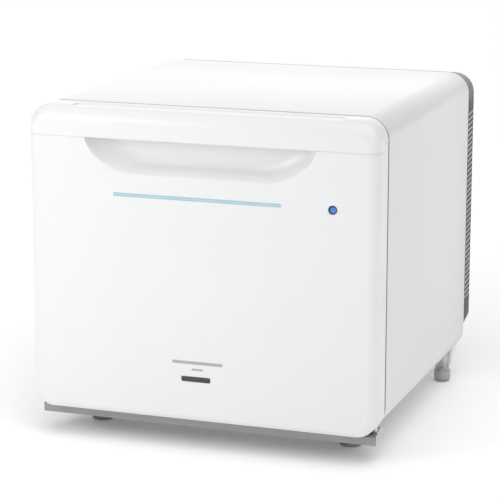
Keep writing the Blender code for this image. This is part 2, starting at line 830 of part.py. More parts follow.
def arc_about_hinge(radius, first, last, steps):
    """Points of an arc about the hinge axis, with its angles in radians."""
    points = []
    for i in range(steps + 1):
        angle = first + (last - first) * i / steps
        points.append((HINGE_X + radius * math.cos(angle), HINGE_Y + radius * math.sin(angle)))
    return points


def hinge_plate_outline():
    """A plate that fills the door's slot up to its side, with an arm that reaches back to the leaf."""
    left = math.acos((HINGE_ARM_LEFT - HINGE_X) / HINGE_PLATE_ROUND)
    side = math.acos((HINGE_PLATE_SIDE - HINGE_X) / HINGE_PLATE_REACH)
    right = math.acos((HINGE_ARM_RIGHT - HINGE_X) / HINGE_PLATE_REACH)
    outline = arc_about_hinge(HINGE_PLATE_ROUND, left, 1.5 * math.pi, 12)
    outline += arc_about_hinge(HINGE_PLATE_REACH, -0.5 * math.pi, -side, 6)
    outline += arc_about_hinge(HINGE_PLATE_REACH, side, right, 4)
    outline += [(HINGE_ARM_RIGHT, CAB_FRONT + 0.0010), (HINGE_ARM_LEFT, CAB_FRONT + 0.0010)]
    return outline


def upper_hinge_bracket(colour):
    """A leaf screwed to the cabinet's front, an arm through the gap and a round plate inside the door."""
    low = HINGE_PLATE_Z - HINGE_PLATE_HALF
    high = HINGE_PLATE_Z + HINGE_PLATE_HALF
    outline = hinge_plate_outline()
    obj = solid("upper_hinge_bracket", colour, lambda bm: add_prism_z(bm, outline, low, high))
    leaf = box((LEAF_LEFT, CAB_FRONT + 0.0001, LEAF_LOW), (LEAF_RIGHT, CAB_FRONT + 0.0017, LEAF_HIGH))
    boolean(obj, cutter("add_hinge_leaf", leaf), "UNION")
    bore = HINGE_PIN + CLEARANCE
    bores = [turned([(bore, 0.30), (bore, 0.40)], (HINGE_X, HINGE_Y, 0.0))]
    for z in HINGE_SCREW_Z:
        bores.append(turned([(0.0018, -0.01), (0.0018, 0.01)], (HINGE_SCREW_X, CAB_FRONT, z), "Y", 16))
    boolean(obj, cutter("cut_bracket_bores", *bores))
    return obj


def upper_hinge_pin(colour):
    """A headed pin: its head is under the plate and its shank turns in the door's bushing."""
    low = HINGE_PLATE_Z - HINGE_PLATE_HALF
    profile = [
        (0.0026, low - 0.0026),
        (0.0030, low - 0.0020),
        (0.0030, low - CLEARANCE),
        (HINGE_PIN, low - CLEARANCE),
        (HINGE_PIN, 0.3596),
        (HINGE_PIN - 0.0006, 0.3604),
    ]
    return solid("upper_hinge_pin", colour, turned(profile, (HINGE_X, HINGE_Y, 0.0), segments=20))


def hinge_screw(name, colour, z):
    profile = [(0.0010, 0.0160), (0.0015, 0.0145), (0.0015, 0.0003)]
    return solid(name, colour, turned(profile, (HINGE_SCREW_X, CAB_FRONT, z), "Y", 16))


# ---------------------------------------------------------------- feet


def front_foot(name, colour, side):
    profile = [(0.0100, 0.0), (0.0122, 0.0014), (0.0126, 0.0090), (0.0112, 0.0105), (0.0112, 0.0327)]
    return solid(name, colour, turned(profile, (side * FOOT_X, FOOT_Y, 0.0), segments=28))


def leg_rings(x, side):
    """The leg's upper part widens, more outward than inward, as it nears the cabinet."""
    rings = []
    for z, inner, outer, half in LEG_SPREAD:
        near = x - side * inner
        far = x + side * outer
        front = LEG_Y - half
        back = LEG_Y + half
        ring = [(near, front, z), (far, front, z), (far, back, z), (near, back, z)]
        rings.append(ring[::side])
    return rings


def rear_leg(name, colour, side):
    """A round leg whose ribbed top spreads to the cabinet's rounded lower edge."""
    x = side * LEG_X
    profile = [(0.0092, 0.0025), (0.0100, 0.0034), (0.0100, 0.0135), (0.0086, 0.0140), (0.0078, 0.0300)]
    obj = solid(name, colour, turned(profile, (x, LEG_Y, 0.0), segments=24))
    boolean(obj, cutter(f"add_{name}", stack(leg_rings(x, side))), "UNION")
    flutes = []
    for edge in (-1, 1):
        y = LEG_Y + edge * 0.0145
        for start in (-0.0015, 0.0070):
            ends = sorted((x + side * start, x + side * (start + 0.0045)))
            flutes.append(box((ends[0], y - 0.0085, 0.0165), (ends[1], y + 0.0085, 0.0600)))
    boolean(obj, cutter(f"cut_{name}_flutes", *flutes))
    rings = [cabinet_ring(y, -CLEARANCE, CAB_CORNER + CLEARANCE) for y in (0.05, 0.25)]
    boolean(obj, cutter(f"cut_{name}_top", stack(rings)))
    return obj


def rear_pad(name, colour, side):
    profile = [(0.0080, 0.0), (0.0092, 0.0006), (0.0092, 0.0022)]
    return solid(name, colour, turned(profile, (side * LEG_X, LEG_Y, 0.0), segments=24))


# ---------------------------------------------------------------- cooling


def finned(name, colour, half, base, tip, base_thickness, fins, fin_thickness):
    """A plate with upright fins, from the y of its flat face (base) to the y of the fin ends (tip)."""
    direction = 1 if tip > base else -1
    pitch = (2 * half - fin_thickness) / (fins - 1)
    inner = base + direction * base_thickness
    points = []
    for i in range(fins):
        left = -half + i * pitch
        right = left + fin_thickness
        points += [(left, inner), (left, tip), (right, tip), (right, inner)]
    outline = [(-half, base)] + points[1:-1] + [(half, base)]
    return solid(name, colour, lambda bm: add_prism_z(bm, outline, COOL_Z - half, COOL_Z + half))


def fan_frame(name, colour, half, bore, front, back):
    """A square frame with a round duct and a hub plate held by four spokes."""
    centre = (0.0, 0.0, COOL_Z)
    obj = solid(name, colour, square_port(half, front, back))
    duct = turned([(bore, front - 0.01), (bore, back + 0.01)], centre, "Y", 36)
    boolean(obj, cutter(f"cut_{name}", duct))
    reach = bore + 0.001
    low = back - 0.0020
    high = back - 0.0006
    shapes = (
        ("hub", turned([(bore * 0.34, back - 0.0022), (bore * 0.34, back - 0.0004)], centre, "Y", 24)),
        ("spokes", box((-reach, low, COOL_Z - 0.0016), (reach, high, COOL_Z + 0.0016))),
        ("upright", box((-0.0016, low, COOL_Z - reach), (0.0016, high, COOL_Z + reach))),
    )
    for word, shape in shapes:
        boolean(obj, cutter(f"add_{name}_{word}", shape), "UNION")
    return obj


def fan_blades(name, hub, tip, chord, middle):
    """Flat blades, each pitched about the line that runs out from the spin axis."""
    half_width = (chord * math.cos(FAN_PITCH) + FAN_BLADE_THICKNESS * math.sin(FAN_PITCH)) / 2
    inner = 0.87 * hub
    outer = math.sqrt(tip**2 - half_width**2)
    size = Matrix.Diagonal((outer - inner, FAN_BLADE_THICKNESS, chord, 1.0))
    pitched = Matrix.Rotation(FAN_PITCH, 4, "X") @ size
    along = Matrix.Translation(((inner + outer) / 2, 0.0, 0.0))
    axis = Matrix.Translation((0.0, middle, COOL_Z))
    bm = bmesh.new()
    for k in range(FAN_BLADES):
        spin = Matrix.Rotation(2 * math.pi * (k + 0.13) / FAN_BLADES, 4, "Y")
        bmesh.ops.create_cube(bm, size=1.0, matrix=axis @ spin @ along @ pitched)
    return finish_mesh(name, bm, None, is_cutter=True)


def fan_rotor(name, colour, tip, chord, front, back):
    """A hub with flat pitched blades, centred on its spin axis."""
    middle = (front + back) / 2
    hub = tip * 0.40
    chamfer = 0.0008
    profile = [(hub - chamfer, front), (hub, front + chamfer), (hub, back)]
    obj = solid(name, colour, turned(profile, (0.0, 0.0, COOL_Z), "Y", 30))
    place_origin(obj, (0.0, middle, COOL_Z))
    boolean(obj, fan_blades(f"add_{name}_blades", hub, tip, chord, middle), "UNION")
    return obj


def front_bevelled(name, colour, low, high, segments, is_cutter=False):
    """A box with its front edges rounded."""
    bm = bmesh.new()
    add_box(bm, low, high)
    edges = [edge for edge in bm.edges if all(v.co.y < low[1] + 0.001 for v in edge.verts)]
    bmesh.ops.bevel(bm, geom=edges, offset=0.005, segments=segments, affect="EDGES")
    return finish_mesh(name, bm, colour, is_cutter)


def evaporator_cover(colour):
    """The vented box over the cold fins and their fan."""
    wall = ROOM_COVER_WALL
    half = ROOM_COVER_HALF
    front = ROOM_COVER_FRONT
    back = ROOM_BACK - CLEARANCE
    low = (-half, front, ROOM_COVER_LOW)
    obj = front_bevelled("evaporator_cover", colour, low, (half, back, ROOM_COVER_HIGH), 3)
    low = (-half + wall, front + wall, ROOM_COVER_LOW + wall)
    high = (half - wall, back + 0.01, ROOM_COVER_HIGH - wall)
    boolean(obj, front_bevelled("cut_evaporator_hollow", None, low, high, 2, is_cutter=True))
    slots = []
    for i in range(11):
        z = COOL_Z - 0.030 + i * 0.006
        slots.append(box((-0.030, front - 0.01, z - 0.0015), (0.030, front + 0.004, z + 0.0015)))
    for side in (-1, 1):
        ends = sorted((side * (half - 0.004), side * (half + 0.004)))
        for i in range(5):
            z = COOL_Z - 0.024 + i * 0.012
            slots.append(box((ends[0], 0.108, z - 0.002), (ends[1], 0.124, z + 0.002)))
    shaft = turned([(0.0038, front - 0.01), (0.0038, front + 0.004)], (DIAL_X, 0.0, DIAL_Z), "Y", 20)
    boolean(obj, cutter("cut_evaporator_slots", shaft, *slots))
    return obj


def temperature_dial(colour):
    """A round dial with a finger bar and a short shaft behind it."""
    face = ROOM_COVER_FRONT - CLEARANCE
    profile = [
        (0.0035, face + 0.0060),
        (0.0035, face),
        (0.0105, face),
        (0.0105, face - 0.0030),
        (0.0098, face - 0.0040),
    ]
    obj = solid("temperature_dial", colour, turned(profile, (DIAL_X, 0.0, DIAL_Z), "Y", 32))
    grip = box(
        (DIAL_X - 0.0014, face - 0.0095, DIAL_Z - 0.0092),
        (DIAL_X + 0.0014, face - 0.0030, DIAL_Z + 0.0092),
    )
    boolean(obj, cutter("add_dial_grip", grip), "UNION")
    place_origin(obj, (DIAL_X, face, DIAL_Z))
    return obj


def power_board(colour):
    """The board that feeds the fans and the cooling module, with its larger parts."""
    y = CAB_REAR + CLEARANCE
    foot = y + 0.001
    obj = solid("power_board", colour, box((-0.085, y, 0.084), (0.025, y + 0.0016, 0.140)))
    parts = cutter(
        "add_board_parts",
        box((-0.078, foot, 0.092), (-0.046, y + 0.0180, 0.122)),
        box((-0.036, foot, 0.090), (-0.016, y + 0.0120, 0.106)),
        turned([(0.0070, foot), (0.0070, y + 0.0200)], (-0.024, 0.0, 0.124), "Y", 18),
        turned([(0.0055, foot), (0.0055, y + 0.0160)], (-0.006, 0.0, 0.124), "Y", 18),
        box((-0.002, foot, 0.090), (0.020, y + 0.0100, 0.100)),
    )
    boolean(obj, parts, "UNION")
    return obj


def power_inlet(colour):
    """The socket for a detachable cord: a hollow body with three flat pins."""
    def around(half_x, half_z, front, back, x=INLET_X, z=INLET_Z):
        return box((x - half_x, COVER_REAR - front, z - half_z), (x + half_x, COVER_REAR - back, z + half_z))

    obj = solid("power_inlet", colour, around(INLET_HALF_X, INLET_HALF_Z, 0.0240, 0.0003))
    boolean(obj, cutter("cut_inlet_well", around(0.0120, 0.0085, 0.0190, -0.01)))
    pins = []
    for dx, dz in ((-0.007, -0.002), (0.0, 0.002), (0.007, -0.002)):
        pins.append(around(0.0010, 0.0022, 0.0200, 0.0060, INLET_X + dx, INLET_Z + dz))
    boolean(obj, cutter("add_inlet_pins", *pins), "UNION")
    return obj


# ---------------------------------------------------------------- inside the cold room


def shelf(colour):
    """A slatted shelf with a raised lip at its front edge."""
    low = (-SHELF_HALF, SHELF_FRONT, SHELF_LOW)
    obj = solid("shelf", colour, box(low, (SHELF_HALF, SHELF_BACK, SHELF_TOP)))
    slots = []
    for i in range(SHELF_SLOTS):
        x = (i - (SHELF_SLOTS - 1) / 2) * SHELF_PITCH
        for y0, y1 in ((SHELF_FRONT + 0.014, -0.003), (0.007, SHELF_BACK - 0.012)):
            slots.append(box((x - 0.0050, y0, SHELF_LOW - 0.01), (x + 0.0050, y1, SHELF_TOP + 0.01)))
    boolean(obj, cutter("cut_shelf_slots", *slots))
    lip = box(
        (-SHELF_HALF + 0.002, SHELF_FRONT - 0.0004, SHELF_LOW + 0.001),
        (SHELF_HALF - 0.002, SHELF_FRONT + 0.0030, SHELF_TOP + 0.006),
    )
    boolean(obj, cutter("add_shelf_lip", lip), "UNION")
    place_origin(obj, (0.0, SHELF_FRONT, SHELF_LOW))
    return obj


def shelf_rail(name, colour, side):
    """A ledge on the wall of the cold room, with a stop at its front end."""
    near, far = sorted((side * RAIL_INNER, side * (ROOM_HALF - CLEARANCE)))
    low = (near, RAIL_FRONT, SHELF_LOW - 0.0070)
    obj = solid(name, colour, box(low, (far, SHELF_BACK + 0.004, SHELF_LOW - CLEARANCE)))
    stop = box((near, RAIL_FRONT, SHELF_LOW - 0.002), (far, RAIL_FRONT + 0.0040, SHELF_LOW + 0.003))
    boolean(obj, cutter(f"add_{name}_stop", stop), "UNION")
    return obj


def upright_rounded(name, colour, low, high, radius, is_cutter=False):
    """A box with its four upright edges rounded."""
    bm = bmesh.new()
    add_box(bm, low, high)
    edges = [edge for edge in bm.edges if abs(edge.verts[0].co.z - edge.verts[1].co.z) > 0.01]
    bmesh.ops.bevel(bm, geom=edges, offset=radius, segments=4, affect="EDGES")
    return finish_mesh(name, bm, colour, is_cutter)


def drip_tray(colour):
    """The tray on the floor of the cold room that catches water from the cold fins."""
    floor = ROOM_BOTTOM + CLEARANCE
    wall = TRAY_WALL
    low = (-TRAY_HALF, TRAY_FRONT, floor)
    obj = upright_rounded("drip_tray", colour, low, (TRAY_HALF, TRAY_BACK, floor + TRAY_HEIGHT), 0.008)
    low = (-TRAY_HALF + wall, TRAY_FRONT + wall, floor + wall)
    high = (TRAY_HALF - wall, TRAY_BACK - wall, floor + TRAY_HEIGHT + 0.01)
    boolean(obj, upright_rounded("cut_tray_well", None, low, high, 0.0062, is_cutter=True))
    place_origin(obj, (0.0, TRAY_FRONT, floor))
    return obj


def build():
    clear_scene()
    white = material("white_plastic", (0.86, 0.87, 0.87), 0.28)
    liner_white = material("liner_plastic", (0.80, 0.82, 0.83), 0.35)
    foam = material("foam", (0.85, 0.76, 0.50), 0.95)
    slate = material("slate_plastic", (0.09, 0.10, 0.11), 0.50)
    mid_grey = material("bar_grey", (0.42, 0.44, 0.46), 0.45)
    rubber = material("rubber", (0.10, 0.10, 0.11), 0.80)
    seal_grey = material("seal_grey", (0.45, 0.46, 0.47), 0.70)
    steel = material("steel", (0.62, 0.63, 0.65), 0.30, 1.0)
    aluminium = material("aluminium", (0.75, 0.76, 0.78), 0.35, 1.0)
    ceramic = material("ceramic", (0.88, 0.88, 0.85), 0.60)
    black = material("black_plastic", (0.03, 0.03, 0.03), 0.45)
    board_green = material("board_green", (0.03, 0.18, 0.08), 0.50)
    clear_plastic = material("tray_plastic", (0.78, 0.84, 0.88), 0.15)
    stripe_blue = material("stripe_blue", (0.38, 0.72, 0.84), 0.40)
    lens_blue = material("lens_blue", (0.02, 0.08, 0.55), 0.12)
    print_grey = material("print_grey", (0.45, 0.45, 0.45), 0.60)
    print_dark = material("print_dark", (0.06, 0.06, 0.07), 0.55)
    nylon = material("nylon", (0.80, 0.79, 0.74), 0.50)

    cabinet_shell(white)
    inner_liner(liner_white)
    cabinet_foam(foam)
    rear_panel(liner_white)
    rear_cover(slate)
    base_bar(mid_grey)
    bar_screw("bar_screw_left", steel, -1)
    bar_screw("bar_screw_right", steel, 1)
    lower_hinge_pin(steel)
    upper_hinge_bracket(white)
    upper_hinge_pin(steel)
    hinge_screw("hinge_screw_lower", steel, HINGE_SCREW_Z[0])
    hinge_screw("hinge_screw_upper", steel, HINGE_SCREW_Z[1])
    for word, side in (("left", -1), ("right", 1)):
        front_foot(f"front_foot_{word}", rubber, side)
        rear_leg(f"rear_leg_{word}", white, side)
        rear_pad(f"rear_pad_{word}", rubber, side)
        shelf_rail(f"shelf_rail_{word}", liner_white, side)

    finned("cold_sink", aluminium, COLD_HALF, 0.1300, 0.1088, 0.0040, 13, 0.0012)
    solid("cold_block", aluminium, square_port(BLOCK_HALF, 0.1303, 0.1560))
    solid("peltier_module", ceramic, square_port(BLOCK_HALF, 0.1563, 0.1600))
    finned("hot_sink", aluminium, SINK_HALF, 0.1603, 0.1885, 0.0050, 14, 0.0014)
    fan_frame("hot_fan_frame", black, 0.046, 0.0425, 0.1890, 0.2010)
    fan_rotor("hot_fan_rotor", black, 0.0410, 0.0120, 0.1900, 0.1982)
    fan_frame("cold_fan_frame", black, 0.032, 0.0292, 0.0960, 0.1070)
    fan_rotor("cold_fan_rotor", black, 0.0277, 0.0088, 0.0970, 0.1042)
    evaporator_cover(liner_white)
    temperature_dial(mid_grey)
    power_board(board_green)
    power_inlet(black)
    shelf(clear_plastic)
    drip_tray(clear_plastic)

    blocks = hinge_blocks("cut_hinge_blocks", 0.0)
    seat = liner_seat(blocks)
    bores = hinge_bores()
    door = [
        door_outer(white, seat, door_cavity(blocks), bores),
        door_top_cap(white, seat, bores),
        door_foam(foam),
        door_liner(liner_white),
        door_gasket(seal_grey),
        door_pocket("door_pocket_lower", clear_plastic, 0.0900, 0.1500, 0.0600),
        door_pocket("door_pocket_upper", clear_plastic, 0.2200, 0.2500, 0.0420),
        stripe_inlay(stripe_blue),
        hinge_bushing("hinge_bushing_lower", nylon, 0.0440, 0.0530),
        hinge_bushing("hinge_bushing_upper", nylon, 0.3528, 0.3612),
    ]
    door += lamp_parts(white, lens_blue, board_green)
    for colour, spec in zip((print_grey, print_grey, print_dark), PRINTS):
        door.append(printed_bar(colour, *spec))
    axis = axis_empty("door_axis", (HINGE_X, HINGE_Y, 0.0))
    for obj in door:
        hang(obj, axis)


build()
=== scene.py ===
"""Mini fridge: the finished look, built on the shared frame. Metres, +Z up, the front faces -Y."""
import math

import bmesh
import bpy
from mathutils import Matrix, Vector

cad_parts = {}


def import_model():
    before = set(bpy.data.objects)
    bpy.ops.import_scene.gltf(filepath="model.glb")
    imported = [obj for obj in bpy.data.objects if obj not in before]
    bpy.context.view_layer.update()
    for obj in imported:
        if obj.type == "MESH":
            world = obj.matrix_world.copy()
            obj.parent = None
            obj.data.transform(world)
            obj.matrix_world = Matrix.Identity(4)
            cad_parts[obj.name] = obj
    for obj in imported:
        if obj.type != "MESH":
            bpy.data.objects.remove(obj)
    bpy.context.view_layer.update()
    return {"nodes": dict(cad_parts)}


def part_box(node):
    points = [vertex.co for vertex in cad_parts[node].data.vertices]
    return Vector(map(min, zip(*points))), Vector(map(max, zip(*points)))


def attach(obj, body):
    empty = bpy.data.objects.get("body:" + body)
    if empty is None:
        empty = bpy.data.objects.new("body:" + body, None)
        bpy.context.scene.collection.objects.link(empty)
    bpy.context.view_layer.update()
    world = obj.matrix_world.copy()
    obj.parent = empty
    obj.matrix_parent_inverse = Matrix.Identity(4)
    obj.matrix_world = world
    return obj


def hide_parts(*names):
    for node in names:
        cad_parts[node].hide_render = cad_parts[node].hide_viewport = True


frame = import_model()

PANEL_LOW, PANEL_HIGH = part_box("door_outer")
CAP_LOW, CAP_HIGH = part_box("door_top_cap")
HALF = PANEL_HIGH.x
BASE = PANEL_LOW.z
SEAM_LOW = PANEL_HIGH.z
SEAM_HIGH = CAP_LOW.z
FACE = PANEL_LOW.y
CAP_FACE = CAP_LOW.y
BACK = PANEL_HIGH.y
TOP = CAP_HIGH.z

# The door's rolled edges at its sides, top and foot, its corners, and the edge round its back
SIDE_ROUND = 0.014
TOP_ROUND = 0.018
LOW_ROUND = 0.008
CORNER = 0.024
INNER_CORNER = 0.006
BACK_ROUND = 0.0012

# The rim round the door's back: its width and its depth
RIM = 0.003
RIM_DEEP = 0.0029

# The door's mesh: cells in a corner, steps round a rolled edge, and the close rows beside the seam
CORNER_CELLS = 6
ROLL_STEPS = 14
SEAM_STEPS = 6
SEAM_BAND = 0.0009

# The door's pins
PIN_LOW, PIN_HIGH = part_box("lower_hinge_pin")
HINGE_X = (PIN_LOW.x + PIN_HIGH.x) / 2
HINGE_Y = (PIN_LOW.y + PIN_HIGH.y) / 2

# The rear cover's side louvres: how many, the lowest one's foot and the step between them
LOUVRES = 37
LOUVRE_LOW = 0.0945
LOUVRE_STEP = 0.0063
LOUVRE_HIGH = LOUVRE_LOW + (LOUVRES - 1) * LOUVRE_STEP


# ------------------------------------------------------------------ materials


class Nodes:
    """A small helper that adds and joins shader nodes."""

    def __init__(self, name):
        self.mat = bpy.data.materials.new(name)
        self.mat.use_nodes = True
        self.tree = self.mat.node_tree
        self.shader = self.tree.nodes["Principled BSDF"]
        self.where = self.add("ShaderNodeTexCoord").outputs["Object"]

    def add(self, kind, **settings):
        node = self.tree.nodes.new(kind)
        for key, value in settings.items():
            setattr(node, key, value)
        return node

    def link(self, source, target):
        self.tree.links.new(source, target)

    def stretched(self, scale):
        node = self.add("ShaderNodeMapping")
        node.inputs["Scale"].default_value = scale
        self.link(self.where, node.inputs["Vector"])
        return node.outputs["Vector"]

    def noise(self, scale, detail=3.0, rough=0.55, vector=None):
        node = self.add("ShaderNodeTexNoise")
        node.inputs["Scale"].default_value = scale
        node.inputs["Detail"].default_value = detail
        node.inputs["Roughness"].default_value = rough
        self.link(vector or self.where, node.inputs["Vector"])
        return node.outputs["Fac"]

    def cells(self, scale):
        node = self.add("ShaderNodeTexVoronoi")
        node.inputs["Scale"].default_value = scale
        self.link(self.where, node.inputs["Vector"])
        return node.outputs["Distance"]

    def parts_of(self, vector):
        """The X, Y and Z outputs of a vector."""
        node = self.add("ShaderNodeSeparateXYZ")
        self.link(vector, node.inputs["Vector"])
        return node.outputs

    def facing(self):
        """The X, Y and Z outputs of the surface's normal."""
        return self.parts_of(self.add("ShaderNodeNewGeometry").outputs["Normal"])

    def size_of(self, value):
        """The value without its sign."""
        return self.math("ABSOLUTE", value, 0.0)

    def remap(self, value, low, high, to_low, to_high):
        node = self.add("ShaderNodeMapRange")
        limits = {"From Min": low, "From Max": high, "To Min": to_low, "To Max": to_high}
        for key, number in limits.items():
            node.inputs[key].default_value = number
        self.link(value, node.inputs["Value"])
        return node.outputs["Result"]

    def mix(self, factor, a, b):
        node = self.add("ShaderNodeMix", data_type="RGBA")
        if isinstance(factor, (int, float)):
            node.inputs["Factor"].default_value = factor
        else:
            self.link(factor, node.inputs["Factor"])
        for key, value in (("A", a), ("B", b)):
            socket = [s for s in node.inputs if s.name == key and s.type == "RGBA"][0]
            if isinstance(value, tuple):
                socket.default_value = (*value, 1.0)
            else:
                self.link(value, socket)
        return [s for s in node.outputs if s.type == "RGBA"][0]

    def math(self, operation, a, b):
        node = self.add("ShaderNodeMath", operation=operation)
        for socket, value in zip(node.inputs, (a, b)):
            if isinstance(value, (int, float)):
                socket.default_value = value
            else:
                self.link(value, socket)
        return node.outputs["Value"]

    def bump(self, height, strength, distance, after=None):
        node = self.add("ShaderNodeBump")
        node.inputs["Strength"].default_value = strength
        node.inputs["Distance"].default_value = distance
        self.link(height, node.inputs["Height"])
        if after:
            self.link(after, node.inputs["Normal"])
        return node.outputs["Normal"]

    def edges(self, low=0.505, high=0.56):
        """1 on worn convex edges and 0 elsewhere."""
        geometry = self.add("ShaderNodeNewGeometry")
        return self.remap(geometry.outputs["Pointiness"], low, high, 0.0, 1.0)

    def set(self, **values):
        """Sets plain numbers on the shader's own sockets."""
        names = {
            "clear": "Transmission Weight",
            "coat": "Coat Weight",
            "coat_rough": "Coat Roughness",
            "ior": "IOR",
            "metal": "Metallic",
            "spec": "Specular IOR Level",
        }
        for key, value in values.items():
            self.shader.inputs[names[key]].default_value = value


def shade(colour, factor):
    """A colour that is lighter or darker by a factor."""
    return tuple(min(1.0, channel * factor) for channel in colour)


def plastic(name, colour, roughness, vary, grain, depth, wear, dust=0.0, **extra):
    """Moulded plastic: a soft drift of tone, a fine spark-eroded grain, scuffed edges and faint dust."""
    n = Nodes(name)
    drift = n.noise(9.0, 2.0)
    fine = n.noise(1.0 / grain, 1.0, 0.5)
    speck = n.noise(420.0, 2.0, 0.6)
    tone = n.mix(n.remap(drift, 0.35, 0.65, 0.0, 1.0), shade(colour, 1.0 - vary), shade(colour, 1.0 + vary))
    tone = n.mix(n.remap(speck, 0.55, 0.75, 0.0, min(0.5, vary * 14.0)), tone, shade(colour, 0.96))
    tone = n.mix(n.math("MULTIPLY", n.edges(), 0.6), tone, shade(colour, wear))
    if dust:
        tone = n.mix(n.remap(n.noise(60.0, 5.0, 0.7), 0.45, 0.75, 0.0, dust), tone, (0.5, 0.49, 0.47))
    n.link(tone, n.shader.inputs["Base Color"])
    smear = n.noise(14.0, 2.0, 0.5)
    n.link(n.remap(smear, 0.3, 0.7, roughness - 0.03, roughness + 0.04), n.shader.inputs["Roughness"])
    n.link(n.bump(fine, depth, 0.0002), n.shader.inputs["Normal"])
    n.set(**extra)
    return n.mat


def painted_steel(name, colour, roughness=0.30):
    """Powder-coated sheet: a faint orange peel and a smooth gloss. Its front flange is painted dark below the
    top, a painted shadow for the gap round the door.
    """
    n = Nodes(name)
    peel = n.noise(620.0, 2.0, 0.45)
    drift = n.noise(7.0, 2.0)
    tone = n.mix(n.remap(drift, 0.35, 0.65, 0.0, 1.0), shade(colour, 0.996), shade(colour, 1.004))
    tone = n.mix(n.math("MULTIPLY", n.edges(0.51, 0.58), 0.5), tone, shade(colour, 1.04))
    # Painted shadow: front-facing faces below the top run turn dark grey to stand in for the shade in the
    # door gap
    gap_shadow_front = n.remap(n.facing()["Y"], -0.25, -0.75, 0.0, 1.0)
    below_top = n.remap(n.parts_of(n.where)["Z"], TOP - 0.025, TOP - 0.001, 1.0, 0.2)
    tone = n.mix(n.math("MULTIPLY", gap_shadow_front, below_top), tone, (0.14, 0.14, 0.145))
    n.link(tone, n.shader.inputs["Base Color"])
    smear = n.noise(12.0, 2.0, 0.5)
    n.link(n.remap(smear, 0.3, 0.7, roughness - 0.01, roughness + 0.02), n.shader.inputs["Roughness"])
    n.link(n.bump(peel, 0.03, 0.0002), n.shader.inputs["Normal"])
    n.set(coat=0.15, coat_rough=0.25)
    return n.mat


def foam_material(name, colour):
    """Rigid polyurethane foam: closed cells with darker pits and a yellowed skin."""
    n = Nodes(name)
    small = n.cells(1400.0)
    large = n.cells(420.0)
    pits = n.remap(large, 0.0, 0.45, 1.0, 0.0)
    tone = n.mix(n.remap(n.noise(30.0, 4.0), 0.3, 0.7, 0.0, 1.0), shade(colour, 0.86), shade(colour, 1.08))
    tone = n.mix(n.math("MULTIPLY", pits, 0.35), tone, shade(colour, 0.55))
    n.link(tone, n.shader.inputs["Base Color"])
    n.link(n.remap(small, 0.0, 0.6, 0.82, 0.98), n.shader.inputs["Roughness"])
    n.link(n.bump(small, 0.5, 0.0005, n.bump(large, 0.4, 0.001)), n.shader.inputs["Normal"])
    return n.mat


def rubber(name, colour, roughness=0.75):
    """Rubber: a blotchy matt skin that is paler along its edges."""
    n = Nodes(name)
    blotch = n.remap(n.noise(80.0, 5.0, 0.7), 0.35, 0.7, 0.0, 1.0)
    tone = n.mix(blotch, shade(colour, 0.8), shade(colour, 1.35))
    tone = n.mix(n.math("MULTIPLY", n.edges(), 0.7), tone, shade(colour, 2.2))
    n.link(tone, n.shader.inputs["Base Color"])
    smear = n.noise(120.0, 3.0)
    n.link(n.remap(smear, 0.3, 0.7, roughness - 0.1, roughness + 0.1), n.shader.inputs["Roughness"])
    n.link(n.bump(n.noise(1800.0, 2.0), 0.25, 0.0003), n.shader.inputs["Normal"])
    return n.mat


def metal(name, colour, roughness):
    """Metal with fine drawn lines, brighter worn edges and a few darker stains."""
    n = Nodes(name)
    lines = n.noise(160.0, 3.0, 0.6, n.stretched((1.0, 1.0, 30.0)))
    stain = n.noise(45.0, 5.0, 0.65)
    tone = n.mix(n.remap(stain, 0.4, 0.75, 0.0, 1.0), colour, shade(colour, 0.72))
    tone = n.mix(n.math("MULTIPLY", n.edges(), 0.8), tone, shade(colour, 1.25))
    n.link(tone, n.shader.inputs["Base Color"])
    n.link(n.remap(lines, 0.3, 0.7, roughness - 0.08, roughness + 0.14), n.shader.inputs["Roughness"])
    n.link(n.bump(lines, 0.08, 0.0002), n.shader.inputs["Normal"])
    n.set(metal=1.0)
    return n.mat


def clear_plastic(name, colour):
    """Clear polystyrene with a slight tint, fine scratches and cloudy edges."""
    n = Nodes(name)
    scratch = n.noise(240.0, 3.0, 0.7, n.stretched((1.0, 14.0, 5.0)))
    tone = n.mix(n.math("MULTIPLY", n.edges(0.5, 0.56), 0.7), colour, (0.90, 0.95, 0.97))
    n.link(tone, n.shader.inputs["Base Color"])
    n.link(n.remap(scratch, 0.45, 0.75, 0.09, 0.30), n.shader.inputs["Roughness"])
    n.link(n.bump(n.noise(130.0, 2.0), 0.05, 0.0004), n.shader.inputs["Normal"])
    n.set(clear=0.80, ior=1.30)
    return n.mat


def circuit_board(name):
    """Solder mask over copper: straight tracks as faint lighter ridges."""
    n = Nodes(name)
    tracks = n.add("ShaderNodeTexBrick")
    tracks.inputs["Scale"].default_value = 160.0
    tracks.inputs["Mortar Size"].default_value = 0.035
    turned = n.add("ShaderNodeMapping")
    turned.inputs["Rotation"].default_value = (math.radians(90), 0.0, 0.0)
    n.link(n.where, turned.inputs["Vector"])
    n.link(turned.outputs["Vector"], tracks.inputs["Vector"])
    green = (0.015, 0.13, 0.055)
    tone = n.mix(tracks.outputs["Fac"], green, (0.04, 0.26, 0.11))
    tone = n.mix(n.remap(n.noise(90.0, 3.0), 0.4, 0.7, 0.0, 0.4), tone, (0.01, 0.08, 0.035))
    n.link(tone, n.shader.inputs["Base Color"])
    n.link(n.remap(n.noise(300.0, 2.0), 0.3, 0.7, 0.25, 0.4), n.shader.inputs["Roughness"])
    n.link(n.bump(tracks.outputs["Fac"], 0.2, 0.0001), n.shader.inputs["Normal"])
    return n.mat


DOOR_GLOSS = {"coat": 0.10, "coat_rough": 0.20}
LINER_GLOSS = {"coat": 0.2, "coat_rough": 0.2}

